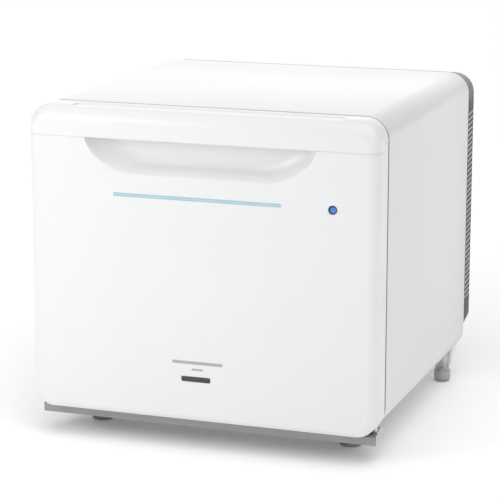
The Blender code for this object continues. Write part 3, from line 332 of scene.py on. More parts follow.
# Each plastic gives its colour, roughness, drift of tone, grain size, grain depth and tone of worn edges
WHITE = plastic("door_white", (0.852, 0.857, 0.862), 0.32, 0.004, 0.0006, 0.015, 1.01, **DOOR_GLOSS)
SHELL = painted_steel("cabinet_white", (0.782, 0.787, 0.794))
LINER = plastic("liner_white", (0.82, 0.84, 0.85), 0.30, 0.012, 0.0004, 0.03, 1.05, **LINER_GLOSS)
FOAM = foam_material("foam_cream", (0.80, 0.69, 0.42))
# The slats' pale grey is a painted highlight: real slats that lean to catch light from above, coloured to
# stand in for light on the louvre blades
SLAT_HIGHLIGHT = plastic("slat_grey", (0.54, 0.55, 0.56), 0.38, 0.03, 0.0005, 0.05, 1.1)
RUBBER = rubber("foot_rubber", (0.25, 0.25, 0.255))
SEAL = rubber("seal_grey", (0.10, 0.10, 0.105), 0.55)
STEEL = metal("pin_steel", (0.60, 0.61, 0.63), 0.28)
FIN = metal("fin_aluminium", (0.76, 0.77, 0.79), 0.34)
CERAMIC = plastic("plate_ceramic", (0.86, 0.86, 0.83), 0.6, 0.02, 0.0003, 0.2, 1.04)
BLACK = plastic("fan_black", (0.025, 0.026, 0.028), 0.42, 0.1, 0.0005, 0.15, 2.2, dust=0.06)
BOARD = circuit_board("board_green")
CLEAR = clear_plastic("tray_clear", (0.80, 0.88, 0.92))
NYLON = plastic("bush_nylon", (0.80, 0.79, 0.74), 0.45, 0.02, 0.0004, 0.1, 1.05)
DIAL = plastic("dial_grey", (0.36, 0.38, 0.40), 0.38, 0.03, 0.0004, 0.1, 1.25)
PRINT_LIGHT = plastic("print_grey", (0.42, 0.42, 0.43), 0.5, 0.04, 0.0003, 0.05, 1.1)
PRINT_DARK = plastic("print_dark", (0.045, 0.047, 0.052), 0.45, 0.05, 0.0003, 0.05, 1.3)


def bar_material():
    """Grey moulded plastic whose ends are painted lighter: painted light on the ends beside the shaded front.
    """
    n = Nodes("bar_grey")
    # Painted light: faces turned to the sides take a pale grey that stands in for light falling on the bar's
    # ends
    ends = n.remap(n.size_of(n.facing()["X"]), 0.35, 0.85, 0.0, 1.0)
    drift = n.remap(n.noise(9.0, 2.0), 0.35, 0.65, 0.0, 1.0)
    tone = n.mix(drift, (0.185, 0.195, 0.210), (0.203, 0.213, 0.229))
    tone = n.mix(ends, tone, (0.72, 0.735, 0.75))
    tone = n.mix(n.math("MULTIPLY", n.edges(), 0.5), tone, (0.50, 0.51, 0.52))
    tone = n.mix(n.remap(n.noise(300.0, 2.0, 0.6), 0.55, 0.75, 0.0, 0.4), tone, (0.25, 0.26, 0.275))
    n.link(tone, n.shader.inputs["Base Color"])
    n.link(n.remap(n.noise(14.0, 2.0), 0.3, 0.7, 0.36, 0.46), n.shader.inputs["Roughness"])
    n.link(n.bump(n.noise(1700.0, 1.0), 0.08, 0.0002), n.shader.inputs["Normal"])
    return n.mat


def cover_material():
    """Dark moulded plastic: painted light at its top, paler on its roundings, and a painted sheen in a band
    outside the louvres.
    """
    low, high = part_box("rear_cover")
    n = Nodes("cover_slate")
    where = n.parts_of(n.where)
    height = where["Z"]
    facing = n.facing()
    across, along, upward = [n.size_of(facing[axis]) for axis in ("X", "Y", "Z")]
    # Painted sheen: a lighter band at mid depth on the sides, below and above the louvres
    middle = low.y + 0.48 * (high.y - low.y)
    away = n.size_of(n.math("SUBTRACT", where["Y"], middle))
    below = n.remap(height, LOUVRE_LOW - 0.0045, LOUVRE_LOW - 0.0015, 1.0, 0.0)
    above = n.remap(height, LOUVRE_HIGH + 0.0047, LOUVRE_HIGH + 0.0087, 0.0, 1.0)
    band = n.math("MULTIPLY", n.remap(away, 0.0035, 0.0095, 1.0, 0.0), n.math("ADD", below, above))
    side = n.remap(across, 0.75, 0.98, 0.0, 1.0)
    drift = n.remap(n.noise(9.0, 2.0), 0.35, 0.65, 0.0, 1.0)
    tone = n.mix(drift, (0.022, 0.024, 0.027), (0.030, 0.033, 0.037))
    tone = n.mix(n.math("MULTIPLY", side, band), tone, (0.075, 0.079, 0.083))
    flat = n.math("MAXIMUM", n.math("MAXIMUM", across, along), upward)
    tone = n.mix(n.remap(flat, 0.97, 0.80, 0.0, 0.35), tone, (0.10, 0.105, 0.11))
    # Painted light: faces that do not face front or back grow lighter towards the top, as if lit from above
    rim = n.remap(along, 0.30, 0.80, 1.0, 0.0)
    painted_top_light = n.math("MULTIPLY", n.remap(height, high.z - 0.036, high.z - 0.002, 0.0, 0.85), rim)
    tone = n.mix(painted_top_light, tone, (0.38, 0.39, 0.40))
    tone = n.mix(n.remap(n.noise(60.0, 4.0, 0.7), 0.5, 0.75, 0.0, 0.05), tone, (0.4, 0.39, 0.38))
    n.link(tone, n.shader.inputs["Base Color"])
    n.link(n.remap(n.noise(30.0, 2.0), 0.3, 0.7, 0.40, 0.52), n.shader.inputs["Roughness"])
    n.link(n.bump(n.noise(1700.0, 1.0), 0.10, 0.0002), n.shader.inputs["Normal"])
    n.set(spec=0.3)
    return n.mat


def leg_material():
    """Pale moulded plastic that is darker towards the floor, below a ragged edge."""
    n = Nodes("leg_grey")
    ragged = n.remap(n.noise(160.0, 3.0, 0.6), 0.3, 0.7, -0.002, 0.002)
    ragged_height = n.math("ADD", n.parts_of(n.where)["Z"], ragged)
    tone = n.mix(n.remap(ragged_height, 0.012, 0.030, 0.0, 1.0), (0.30, 0.305, 0.315), (0.84, 0.85, 0.86))
    tone = n.mix(n.math("MULTIPLY", n.edges(), 0.5), tone, (0.86, 0.87, 0.88))
    n.link(tone, n.shader.inputs["Base Color"])
    n.link(n.remap(n.noise(40.0, 2.0), 0.3, 0.7, 0.36, 0.46), n.shader.inputs["Roughness"])
    n.link(n.bump(n.noise(1700.0, 1.0), 0.08, 0.0002), n.shader.inputs["Normal"])
    return n.mat


def stripe_material():
    """A pale blue inlay: its long edges are deeper and its middle is lighter."""
    low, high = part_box("stripe_inlay")
    n = Nodes("stripe_blue")
    middle = (low.z + high.z) / 2
    away = n.size_of(n.math("SUBTRACT", n.parts_of(n.where)["Z"], middle))
    edge = n.remap(away, 0.0004, (high.z - low.z) / 2, 0.0, 1.0)
    tone = n.mix(edge, (0.47, 0.65, 0.75), (0.33, 0.48, 0.56))
    tone = n.mix(n.remap(n.noise(40.0, 3.0), 0.35, 0.65, 0.0, 0.25), tone, (0.52, 0.70, 0.80))
    n.link(tone, n.shader.inputs["Base Color"])
    n.link(n.remap(n.noise(200.0, 3.0), 0.3, 0.7, 0.28, 0.38), n.shader.inputs["Roughness"])
    n.link(n.bump(n.noise(1500.0, 2.0), 0.05, 0.0002), n.shader.inputs["Normal"])
    return n.mat


def lens_material():
    """A deep blue lens with a lighter middle and a dark rim."""
    low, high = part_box("lamp_lens")
    n = Nodes("lens_blue")
    centre = (low + high) / 2
    spot = n.add("ShaderNodeVectorMath", operation="DISTANCE")
    n.link(n.where, spot.inputs[0])
    spot.inputs[1].default_value = (centre.x + 0.0007, low.y, centre.z)
    near = n.remap(spot.outputs["Value"], 0.0028, 0.0039, 1.0, 0.0)
    tone = n.mix(near, (0.006, 0.018, 0.060), (0.10, 0.245, 0.60))
    tone = n.mix(n.remap(n.noise(700.0, 2.0), 0.4, 0.7, 0.0, 0.2), tone, (0.02, 0.08, 0.45))
    n.link(tone, n.shader.inputs["Base Color"])
    n.link(n.remap(n.noise(900.0, 2.0), 0.3, 0.7, 0.08, 0.16), n.shader.inputs["Roughness"])
    n.link(n.bump(n.noise(900.0, 1.0), 0.03, 0.0002), n.shader.inputs["Normal"])
    n.set(coat=0.2, coat_rough=0.1, spec=0.3)
    return n.mat


BAR_GREY = bar_material()
SLATE = cover_material()
LEG = leg_material()
STRIPE = stripe_material()
LENS = lens_material()


# ------------------------------------------------------------------ mesh helpers


# Edges sharper than this stay sharp, and those of carried-over nodes sharper than the second are rounded
SHARP_ANGLE = 32.0
ROUNDED_ANGLE = 35.0


def link_mesh(name, bm, mat, angle=SHARP_ANGLE):
    """Turns a bmesh into a named object, smooth but for edges sharper than the angle."""
    bmesh.ops.remove_doubles(bm, verts=bm.verts, dist=1e-7)
    bmesh.ops.recalc_face_normals(bm, faces=bm.faces)
    mesh = bpy.data.meshes.new(name)
    bm.to_mesh(mesh)
    bm.free()
    mesh.shade_smooth()
    mesh.set_sharp_from_angle(angle=math.radians(angle))
    obj = bpy.data.objects.new(name, mesh)
    bpy.context.collection.objects.link(obj)
    if mat:
        mesh.materials.append(mat)
    return obj


def place(obj, body, slot, *nodes):
    """Lets the piece ride on its body and stand for its CAD nodes, which it hides. Its slot is not used."""
    if nodes:
        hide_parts(*nodes)
    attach(obj, body)


def strip(bm, first, second, closed=True):
    """Joins two rows of vertices with quads."""
    count = len(first)
    for i in range(count if closed else count - 1):
        j = (i + 1) % count
        bm.faces.new((first[i], first[j], second[j], second[i]))


def loft(bm, rings, around=False):
    """A skin through closed rings, capped at both ends or closed around to the first ring."""
    loops = [[bm.verts.new(p) for p in ring] for ring in rings]
    for a, b in zip(loops, loops[1:]):
        strip(bm, a, b)
    if around:
        strip(bm, loops[-1], loops[0])
    else:
        bm.faces.new(loops[0][::-1])
        bm.faces.new(loops[-1])


def lathe(bm, profile, centre, axis="Z", segments=48, ripple=None, around=False):
    """Turns (radius, height) points about an axis; ripple(angle, level) scales the radius."""
    rings = []
    for level, (radius, height) in enumerate(profile):
        ring = []
        for i in range(segments):
            angle = 2 * math.pi * i / segments
            r = radius * (ripple(angle, level) if ripple else 1.0)
            a = r * math.cos(angle)
            b = r * math.sin(angle)
            point = (a, b, height) if axis == "Z" else (a, height, b)
            ring.append(Vector(centre) + Vector(point))
        rings.append(ring)
    loft(bm, rings, around=around)


def arc(cx, cy, radius, start, stop, steps):
    """Points of an arc in degrees, as (x, y) pairs."""
    points = []
    for i in range(steps + 1):
        angle = math.radians(start + (stop - start) * i / steps)
        points.append((cx + radius * math.cos(angle), cy + radius * math.sin(angle)))
    return points


def rounded(y, x0, x1, z0, z1, radius, steps=14):
    """A rounded rectangle in the plane at y."""
    corners = ((x1 - radius, z1 - radius, 0), (x0 + radius, z1 - radius, 90))
    corners += ((x0 + radius, z0 + radius, 180), (x1 - radius, z0 + radius, 270))
    return [(x, y, z) for cx, cz, a in corners for x, z in arc(cx, cz, radius, a, a + 90, steps)]


def soft_box(bm, low, high, radius, segments):
    """A box with all its edges rounded."""
    made = bmesh.ops.create_cube(bm, size=1.0)["verts"]
    low = Vector(low)
    high = Vector(high)
    for v in made:
        v.co = Vector((low[k] + (v.co[k] + 0.5) * (high[k] - low[k]) for k in range(3)))
    edges = list({e for v in made for e in v.link_edges})
    bmesh.ops.bevel(bm, geom=edges, offset=radius, segments=segments, affect="EDGES", profile=0.5)


def carve(obj, build, operation="DIFFERENCE"):
    """Applies one exact Boolean with a shape from build(bm), and leaves no helper behind."""
    bm = bmesh.new()
    build(bm)
    other = link_mesh("carver", bm, None)
    modifier = obj.modifiers.new("carve", "BOOLEAN")
    modifier.operation = operation
    modifier.solver = "EXACT"
    modifier.object = other
    graph = bpy.context.evaluated_depsgraph_get()
    made = bpy.data.meshes.new_from_object(obj.evaluated_get(graph))
    obj.modifiers.remove(modifier)
    old = obj.data
    obj.data = made
    bpy.data.meshes.remove(old)
    spare = other.data
    bpy.data.objects.remove(other, do_unlink=True)
    bpy.data.meshes.remove(spare)
    made.shade_smooth()
    made.set_sharp_from_angle(angle=math.radians(SHARP_ANGLE))


def round_edges(obj, width):
    """A Bevel modifier on every sharp edge of a carried-over node."""
    bevel = obj.modifiers.new("soft edges", "BEVEL")
    bevel.width = width
    bevel.segments = 3
    bevel.limit_method = "ANGLE"
    bevel.angle_limit = math.radians(ROUNDED_ANGLE)
    bevel.use_clamp_overlap = True
    bevel.miter_outer = "MITER_ARC"
    bevel.harden_normals = True


# ------------------------------------------------------------------ door


def inset_at(radius, depth):
    """How far a rounded edge stands in from the side at this depth behind the face."""
    if depth >= radius:
        return 0.0
    return radius - math.sqrt(radius**2 - (radius - max(depth, 0.0)) ** 2)


def roll_depths(radius):
    """Depths behind the face that step evenly round a rolled edge."""
    turns = [math.radians(90 * k / ROLL_STEPS) for k in range(1, ROLL_STEPS + 1)]
    return [radius * (1 - math.cos(turn)) for turn in turns]


def spread(*spans):
    """Rising numbers from (start, stop, steps) spans that follow each other."""
    values = [spans[0][0]]
    for start, stop, steps in spans:
        values += [start + (stop - start) * (i + 1) / steps for i in range(steps)]
    return values


def door_half(name, face, end_round, end, seam, columns, rows, height_at, lift=None):
    """Half of the door: a face grid that flows round two corners at its end and stops flat at the seam.

    end and seam are heights; rows runs from the corner's centre line to the seam as distances from the end.
    height_at gives a face point's depth behind the face, and lift may move any point.
    """
    up = 1.0 if seam > end else -1.0
    small = CORNER - SIDE_ROUND
    centre_x = HALF - CORNER
    centre_w = end_round + small
    cells = CORNER_CELLS
    share = [i / cells for i in range(cells + 1)]
    bm = bmesh.new()

    def vert(x, depth, w):
        point = Vector((x, face + depth, end + up * w))
        return bm.verts.new(lift(point) if lift else point)

    def corner(a, b):
        return small * a * math.sqrt(1 - b * b / 2), small * b * math.sqrt(1 - a * a / 2)

    grid = []
    for b in share[::-1]:
        line = []
        for a in share[::-1]:
            dx, dw = corner(a, b)
            line.append((-centre_x - dx, centre_w - dw))
        line += [(x, centre_w - small * b) for x in columns]
        for a in share:
            dx, dw = corner(a, b)
            line.append((centre_x + dx, centre_w - dw))
        grid.append(line)
    for w in rows:
        line = [(-centre_x - small * a, w) for a in share[::-1]]
        line += [(x, w) for x in columns]
        line += [(centre_x + small * a, w) for a in share]
        grid.append(line)
    made = [[vert(x, height_at(x, end + up * w), w) for x, w in line] for line in grid]
    for low, high in zip(made, made[1:]):
        for i in range(len(low) - 1):
            bm.faces.new((low[i], low[i + 1], high[i + 1], high[i]))

    angles = [math.atan2(b / math.sqrt(2), math.sqrt(1 - b * b / 2)) for b in share]
    angles += [math.pi / 2 - angle for angle in angles[-2::-1]]
    seam_w = abs(seam - end)

    def ring(depth, extra, y):
        side = inset_at(SIDE_ROUND, depth) + extra
        low = inset_at(end_round, depth) + extra
        radius = max(CORNER - side, INNER_CORNER)
        cx = HALF - side - radius
        cw = low + radius
        stretch = (seam_w - cw) / (seam_w - centre_w)
        points = [(-(HALF - side), cw + (w - centre_w) * stretch) for w in rows[::-1]]
        points += [(-cx - radius * math.cos(t), cw - radius * math.sin(t)) for t in angles]
        points += [(x * cx / centre_x, low) for x in columns]
        points += [(cx + radius * math.cos(t), cw - radius * math.sin(t)) for t in angles[::-1]]
        points += [(HALF - side, cw + (w - centre_w) * stretch) for w in rows]
        return [vert(x, y - face, w) for x, w in points]

    first = [line[0] for line in made[::-1]][: len(rows)]
    first += [made[cells - i][0] for i in range(cells + 1)]
    first += made[0][1:-1]
    first += [made[i][-1] for i in range(cells + 1)]
    first += [line[-1] for line in made[cells + 1 :]]
    rings = [first] + [ring(d, 0.0, face + d) for d in roll_depths(max(SIDE_ROUND, end_round))]
    straight = 1.0
    rings += [ring(straight, 0.0, y) for y in spread((DISH_BACK - 0.0045, DISH_BACK + 0.0012, 8))]
    for k in range(5):
        t = math.radians(90 * k / 4)
        y = BACK - BACK_ROUND * (1 - math.sin(t))
        rings.append(ring(straight, BACK_ROUND * (1 - math.cos(t)), y))
    rings.append(ring(straight, RIM, BACK))
    rings.append(ring(straight, RIM, BACK - RIM_DEEP))
    for a, b in zip(rings, rings[1:]):
        strip(bm, a, b, closed=False)
    bm.faces.new(rings[-1])
    left = [r[0] for r in rings]
    right = [r[-1] for r in rings]
    bm.faces.new(made[-1] + right[1:] + left[:0:-1])
    return link_mesh(name, bm, WHITE)


# The scoop: half its width and its lowest point at the face, its depth, how far its ends lean in,
# and the width and power of the superellipse that turns its lower corners
SCOOP_HALF = 0.1308
SCOOP_LOW = 0.3010
SCOOP_DEEP = 0.0172
SCOOP_REACH = 0.0330
SCOOP_TURN = 0.0510
SCOOP_BEND = 1.66
# Its floor wall: the slope in degrees, and the radii that roll it over at the face and into the back
SCOOP_SLOPE = 58.0
SCOOP_BROW = 0.0045
SCOOP_FOOT = 0.0090
SCOOP_OVER = 0.0010
SCOOP_HALVINGS = 18


def slope_inset(depth, total, angle, outer, inner):
    """The run of a wall that rolls over an outer radius, slopes at an angle and rolls into a flat."""
    tilt = math.radians(angle)
    first = outer * (1 - math.cos(tilt))
    last = inner * (1 - math.cos(tilt))
    if depth <= first:
        return math.sqrt(max(outer**2 - (outer - depth) ** 2, 0.0))
    run = outer * math.sin(tilt)
    if depth <= total - last:
        return run + (depth - first) / math.tan(tilt)
    run += (total - last - first) / math.tan(tilt)
    left = max(total - depth, 0.0)
    return run + inner * math.sin(tilt) - math.sqrt(max(inner**2 - (inner - left) ** 2, 0.0))


def inside_scoop(x, z, depth):
    """True if the point is within the scoop's outline at this depth: steep crisp sides and a soft floor."""
    share = min(depth / SCOOP_DEEP, 1.0)
    half = SCOOP_HALF - SCOOP_REACH * (1 - math.sqrt(1 - share * share))
    low = SCOOP_LOW + slope_inset(depth, SCOOP_DEEP, SCOOP_SLOPE, SCOOP_BROW, SCOOP_FOOT)
    top = SEAM_LOW + SCOOP_OVER
    x = abs(x)
    if x >= half or z <= low:
        return False
    u = max(x - half + SCOOP_TURN, 0.0) / SCOOP_TURN
    v = max(top - z, 0.0) / (top - low)
    return u**SCOOP_BEND + v**SCOOP_BEND < 1.0


def scoop_depth(x, z):
    """How far behind the face the scoop's wall is at this point, found by halving."""
    if not inside_scoop(x, z, 0.0):
        return 0.0
    if inside_scoop(x, z, SCOOP_DEEP):
        return SCOOP_DEEP
    low = 0.0
    high = SCOOP_DEEP
    for _ in range(SCOOP_HALVINGS):
        middle = (low + high) / 2
        if inside_scoop(x, z, middle):
            low = middle
        else:
            high = middle
    return low


def seam_fillet(gap, radius=0.0004):
    """The small rounding of a face where it meets the seam, from the distance to the seam."""
    if gap >= radius:
        return 0.0
    return radius - math.sqrt(max(radius**2 - (radius - gap) ** 2, 0.0))


# The door's hinge bores: the bushings' radius, the lower bore's ends, and the upper bore with its plate slot
BUSH_RADIUS = 0.0048
LOW_BORE = (0.0200, 0.0535)
PIN_HOLE = 0.0036
PIN_HOLE_DEEP = 0.0032
SLOT_SWEEP = 0.0109
SLOT_LOW = 0.3495
SLOT_HIGH = 0.3525
HIGH_BORE_DEEP = 0.0090


def hinge_carver(bm):
    """The bores for both bushings and the slot for the hinge plate."""
    centre = (HINGE_X, HINGE_Y, 0.0)
    lathe(bm, [(BUSH_RADIUS, z) for z in LOW_BORE], centre)
    upper = [(PIN_HOLE, SLOT_LOW - PIN_HOLE_DEEP), (PIN_HOLE, SLOT_LOW)]
    upper += [(SLOT_SWEEP, SLOT_LOW), (SLOT_SWEEP, SLOT_HIGH)]
    upper += [(BUSH_RADIUS, SLOT_HIGH), (BUSH_RADIUS, SLOT_HIGH + HIGH_BORE_DEEP)]
    lathe(bm, upper, centre)


# The solids behind the bores: their inner side, how far they stand in from the outside, and their depth
BLOCK_NEAR = 0.1772
BLOCK_INSET = 0.0015
BLOCK_DEEP = 0.0040
BLOCK_LOW_TOP = 0.0580
BLOCK_HIGH_FOOT = 0.3385
BLOCK_GAP = 0.0001


def corner_block(bm, low_z, high_z, end=None):
    """The solid behind a hinge bore, up to the door's rim. At an end it turns with the corner."""
    side = HALF - BLOCK_INSET
    points = [(BLOCK_NEAR, low_z), (side, low_z), (side, high_z), (BLOCK_NEAR, high_z)]
    if end is not None:
        up = 1.0 if end < SEAM_LOW else -1.0
        radius = CORNER - BLOCK_INSET
        points = []
        for i in range(11):
            turn = math.radians(3.0 + 8.7 * i)
            rise = CORNER - radius * math.cos(turn)
            points.append((HALF - CORNER + radius * math.sin(turn), end + up * rise))
        far = high_z if up > 0 else low_z
        points += [(side, far), (BLOCK_NEAR, far)]
    loft(bm, [[(x, y, z) for x, z in points] for y in (BACK - BLOCK_DEEP, BACK - 0.00005)])


# Where the door's grids end and change their spacing, across from the middle and up from the foot
GRID_END = 0.176
SCOOP_GRID_END = 0.152
SCOOP_GRID_MIDDLE = 0.086
SCOOP_GRID_LOW = 0.257


def door_panel():
    """The lower part of the door, with the finger scoop and closely spaced cells round it."""
    outer = SCOOP_GRID_END
    inner = SCOOP_GRID_MIDDLE
    spans = [(-GRID_END, -outer, 6), (-outer, -inner, 66), (-inner, inner, 34)]
    spans += [(inner, outer, 66), (outer, GRID_END, 6)]
    columns = spread(*spans)[1:-1]
    start = LOW_ROUND + CORNER - SIDE_ROUND
    length = SEAM_LOW - BASE
    near_seam = length - SEAM_BAND
    spans = [(start, SCOOP_GRID_LOW, 22), (SCOOP_GRID_LOW, near_seam, 56), (near_seam, length, SEAM_STEPS)]
    rows = spread(*spans)[1:]

    def height_at(x, z):
        return scoop_depth(x, z) + seam_fillet(SEAM_LOW - z)

    obj = door_half("door_panel", FACE, LOW_ROUND, BASE, SEAM_LOW, columns, rows, height_at)
    carve(obj, lambda bm: corner_block(bm, BASE, BLOCK_LOW_TOP, BASE), "UNION")
    carve(obj, lambda bm: corner_block(bm, BLOCK_HIGH_FOOT, SEAM_LOW - BLOCK_GAP), "UNION")
    carve(obj, hinge_carver)
    place(obj, "door", "shell_white", "door_outer")


# The shallow dish in the cap's top: its ends, depth and back, and how far its end slopes reach out and in
DISH_LEFT = -0.150
DISH_RIGHT = 0.157
DISH_DEPTH = 0.0018
DISH_BACK = BACK - 0.0070
SLOPE_OUT = 0.0004
SLOPE_IN = 0.0016


def smooth_step(value, low, high):
    """0 below low and 1 above high, with an easy curve between."""
    t = min(max((value - low) / (high - low), 0.0), 1.0)
    return t * t * (3 - 2 * t)


def sunk(point):
    """Lowers the cap's top between the two ends of its shallow dish, in front of its rear rim."""
    inside = smooth_step(point.x, DISH_LEFT - SLOPE_OUT, DISH_LEFT + SLOPE_IN)
    inside *= 1.0 - smooth_step(point.x, DISH_RIGHT - SLOPE_IN, DISH_RIGHT + SLOPE_OUT)
    inside *= 1.0 - smooth_step(point.y, DISH_BACK - 0.0040, DISH_BACK + 0.0010)
    if inside <= 0.0:
        return point
    level = TOP - DISH_DEPTH * inside
    over = point.z - level
    soft = 0.0006
    if over > -soft:
        point.z = level - soft * (1.0 - min((over + soft) / (2 * soft), 1.0)) ** 2
    return point


# The finger grip behind the cap's lip: half its width, how far in it starts, how deep and how high it goes
GRIP_HALF = 0.1170
GRIP_LIP = 0.0042
GRIP_DEEP = 0.0128
GRIP_HIGH = 0.0088
GRIP_ROUND = 0.0030
CAP_GRID_MIDDLE = 0.112


def door_cap():
    """The door's top part: a lip over the scoop with a grip behind it, and a dish in its top."""
    middle = CAP_GRID_MIDDLE
    left = (DISH_LEFT - 0.0025, DISH_LEFT + 0.0030)
    right = (DISH_RIGHT - 0.0030, DISH_RIGHT + 0.0025)
    spans = [(-GRID_END, left[0], 5), (*left, 14), (left[1], -middle, 18), (-middle, middle, 30)]
    spans += [(middle, right[0], 20), (*right, 14), (right[1], GRID_END, 4)]
    columns = spread(*spans)[1:-1]
    start = TOP_ROUND + CORNER - SIDE_ROUND
    length = TOP - SEAM_HIGH
    near_seam = length - SEAM_BAND
    rows = spread((start, near_seam, 4), (near_seam, length, SEAM_STEPS))[1:]

    def height_at(x, z):
        return seam_fillet(z - SEAM_HIGH)

    def grip(bm):
        front = CAP_FACE + GRIP_LIP
        low = (-GRIP_HALF, front, SEAM_HIGH - 0.01)
        soft_box(bm, low, (GRIP_HALF, front + GRIP_DEEP, SEAM_HIGH + GRIP_HIGH), GRIP_ROUND, 5)

    obj = door_half("door_cap", CAP_FACE, TOP_ROUND, TOP, SEAM_HIGH, columns, rows, height_at, sunk)
    carve(obj, lambda bm: corner_block(bm, SEAM_HIGH + BLOCK_GAP, TOP, TOP), "UNION")
    carve(obj, grip)
    carve(obj, hinge_carver)
    place(obj, "door", "shell_white", "door_top_cap")


# The lips in the seam: where they start beside the scoop, how far they lie under the face, and their back
TONGUE_NEAR = 0.1345
TONGUE_SUNK = 0.00045
TONGUE_BACK = BACK - 0.0020
TONGUE_GAP = 0.00002


def seam_tongues():
    """A white lip closes the seam just under the face, on both sides of the scoop."""
    bm = bmesh.new()
    face = FACE + TONGUE_SUNK
    half = HALF - TONGUE_SUNK
    for side in (-1, 1):
        points = [(side * TONGUE_NEAR, face), (side * (HALF - SIDE_ROUND - 0.0004), face)]
        points += [(side * (half - inset_at(SIDE_ROUND, d)), face + d) for d in roll_depths(SIDE_ROUND)]
        points += [(side * half, TONGUE_BACK), (side * TONGUE_NEAR, TONGUE_BACK)]
        levels = (SEAM_LOW + TONGUE_GAP, SEAM_HIGH - TONGUE_GAP)
        loft(bm, [[(x, y, z) for x, y in points[::side]] for z in levels])
    place(link_mesh("seam_tongues", bm, WHITE), "door", "shell_white")


def stripe():
    """The inlaid stripe: round at its right end, square with clipped corners at its left."""
    low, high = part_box("stripe_inlay")
    radius = (high.z - low.z) / 2 * 0.999
    middle = (low.z + high.z) / 2
    clip = 0.0003
    bm = bmesh.new()

    def ring(y, inset):
        r = radius - inset
        points = [(x, z) for x, z in arc(high.x - radius, middle, r, -90, 90, 12)]
        left = low.x + inset
        points += [(left + clip, middle + r), (left, middle + r - clip)]
        points += [(left, middle - r + clip), (left + clip, middle - r)]
        return [(x, y, z) for x, z in points]

    rings = [ring(high.y, 0.0), ring(FACE + 0.0001, 0.0)]
    rings += [ring(low.y + 0.00002, 0.00012), ring(low.y, 0.0003)]
    loft(bm, rings)
    place(link_mesh("stripe_bar", bm, STRIPE), "door", "stripe_blue", "stripe_inlay")


def lamp():
    """A flat white ring round a low blue dome."""
    low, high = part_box("lamp_bezel")
    centre = ((low.x + high.x) / 2, 0.0, (low.z + high.z) / 2)
    outer = (high.x - low.x) / 2
    inner = outer - 0.0018
    back = high.y
    front = low.y
    edge = 0.0005
    bm = bmesh.new()
    profile = [(outer, back), (outer, front + edge)]
    for turn in (0.4, 0.8, 1.2, 1.5):
        profile.append((outer - edge + edge * math.cos(turn), front + edge - edge * math.sin(turn)))
    profile += [(inner + 0.0004, front), (inner + 0.0001, front + 0.0001)]
    profile += [(inner, front + 0.0004), (inner, back)]
    lathe(bm, profile, centre, "Y", 64, around=True)
    place(link_mesh("lamp_ring", bm, WHITE), "door", "shell_white", "lamp_bezel")
    low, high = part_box("lamp_lens")
    radius = (high.x - low.x) / 2
    rim = FACE - 0.00008
    rise = rim - low.y
    bm = bmesh.new()
    dome = [(radius, high.y), (radius, rim)]
    for k in range(1, 10):
        t = math.radians(9.5 * k)
        dome.append((radius * math.cos(t), low.y + rise * (1 - math.sin(t))))
    lathe(bm, dome, centre, "Y", 64)
    place(link_mesh("lamp_dome", bm, LENS), "door", "lens_blue", "lamp_lens")


def gasket():
    """The seal: a flat foot, a bellows that folds and a rounded magnet pocket against the cabinet."""
    low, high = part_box("door_gasket")
    outer = HALF - high.x
    deep = high.y - low.y
    profile = [(0.0000, 0.00), (0.0000, 0.16), (0.0010, 0.20), (0.0028, 0.24), (0.0010, 0.34), (0.0028, 0.42)]
    profile += [(0.0008, 0.50), (0.0002, 0.62), (0.0002, 0.84), (0.0008, 0.95), (0.0018, 1.00)]
    profile += [(0.0095, 1.00), (0.0110, 0.95), (0.0116, 0.84), (0.0114, 0.62), (0.0100, 0.50)]
    profile += [(0.0090, 0.40), (0.0104, 0.30), (0.0096, 0.22), (0.0116, 0.16), (0.0120, 0.00)]
    rings = []
    for inset, level in profile:
        side = outer + inset
        radius = max(CORNER - side, 0.004)
        y = low.y + deep * level
        rings.append(rounded(y, -HALF + side, HALF - side, BASE + side, TOP - side, radius, steps=10))
    bm = bmesh.new()
    loft(bm, rings, around=True)
    place(link_mesh("door_seal", bm, SEAL, 50.0), "door", "seal_grey", "door_gasket")


def printed_bars():
    """Three plain bars stand for the small printed lines."""
    for node, mat, slot in (
        ("print_line_upper", PRINT_LIGHT, "print_grey"),
        ("print_line_small", PRINT_LIGHT, "print_grey"),
        ("print_badge", PRINT_DARK, "print_dark"),
    ):
        low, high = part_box(node)
        bm = bmesh.new()
        radius = (high.z - low.z) * 0.28
        rings = [rounded(y, low.x, high.x, low.z, high.z, radius, steps=5) for y in (high.y, low.y)]
        loft(bm, rings)
        place(link_mesh(f"{node}_bar", bm, mat), "door", slot, node)


# ------------------------------------------------------------------ cabinet


def cabinet_skin():
    """The wrapped steel shell: a rounded sleeve with softened front and rear edges."""
    low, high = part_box("cabinet_shell")
    corner = 0.025
    wall = 0.0022

    def ring(y, inset):
        return rounded(y, low.x + inset, high.x - inset, low.z + inset, high.z - inset, corner - inset)

    clip = 0.0003
    front_roll = ((0.0010, 0.0), (0.0005, 0.00012), (0.0002, 0.0004), (0.0, 0.0009))
    rear_roll = ((0.0, 0.0012), (0.0003, 0.0006), (0.0008, 0.00015), (0.0015, 0.0))
    rings = [ring(low.y + back, inset) for back, inset in front_roll]
    rings += [ring(low.y, wall - clip), ring(low.y + clip, wall), ring(high.y - clip, wall)]
    rings.append(ring(high.y, wall - clip))
    rings += [ring(high.y - ahead, inset) for ahead, inset in rear_roll]
    rings.append(ring(0.0, 0.0))
    bm = bmesh.new()
    loft(bm, rings, around=True)
    place(link_mesh("cabinet_skin", bm, SHELL), "cabinet", "shell_white", "cabinet_shell")


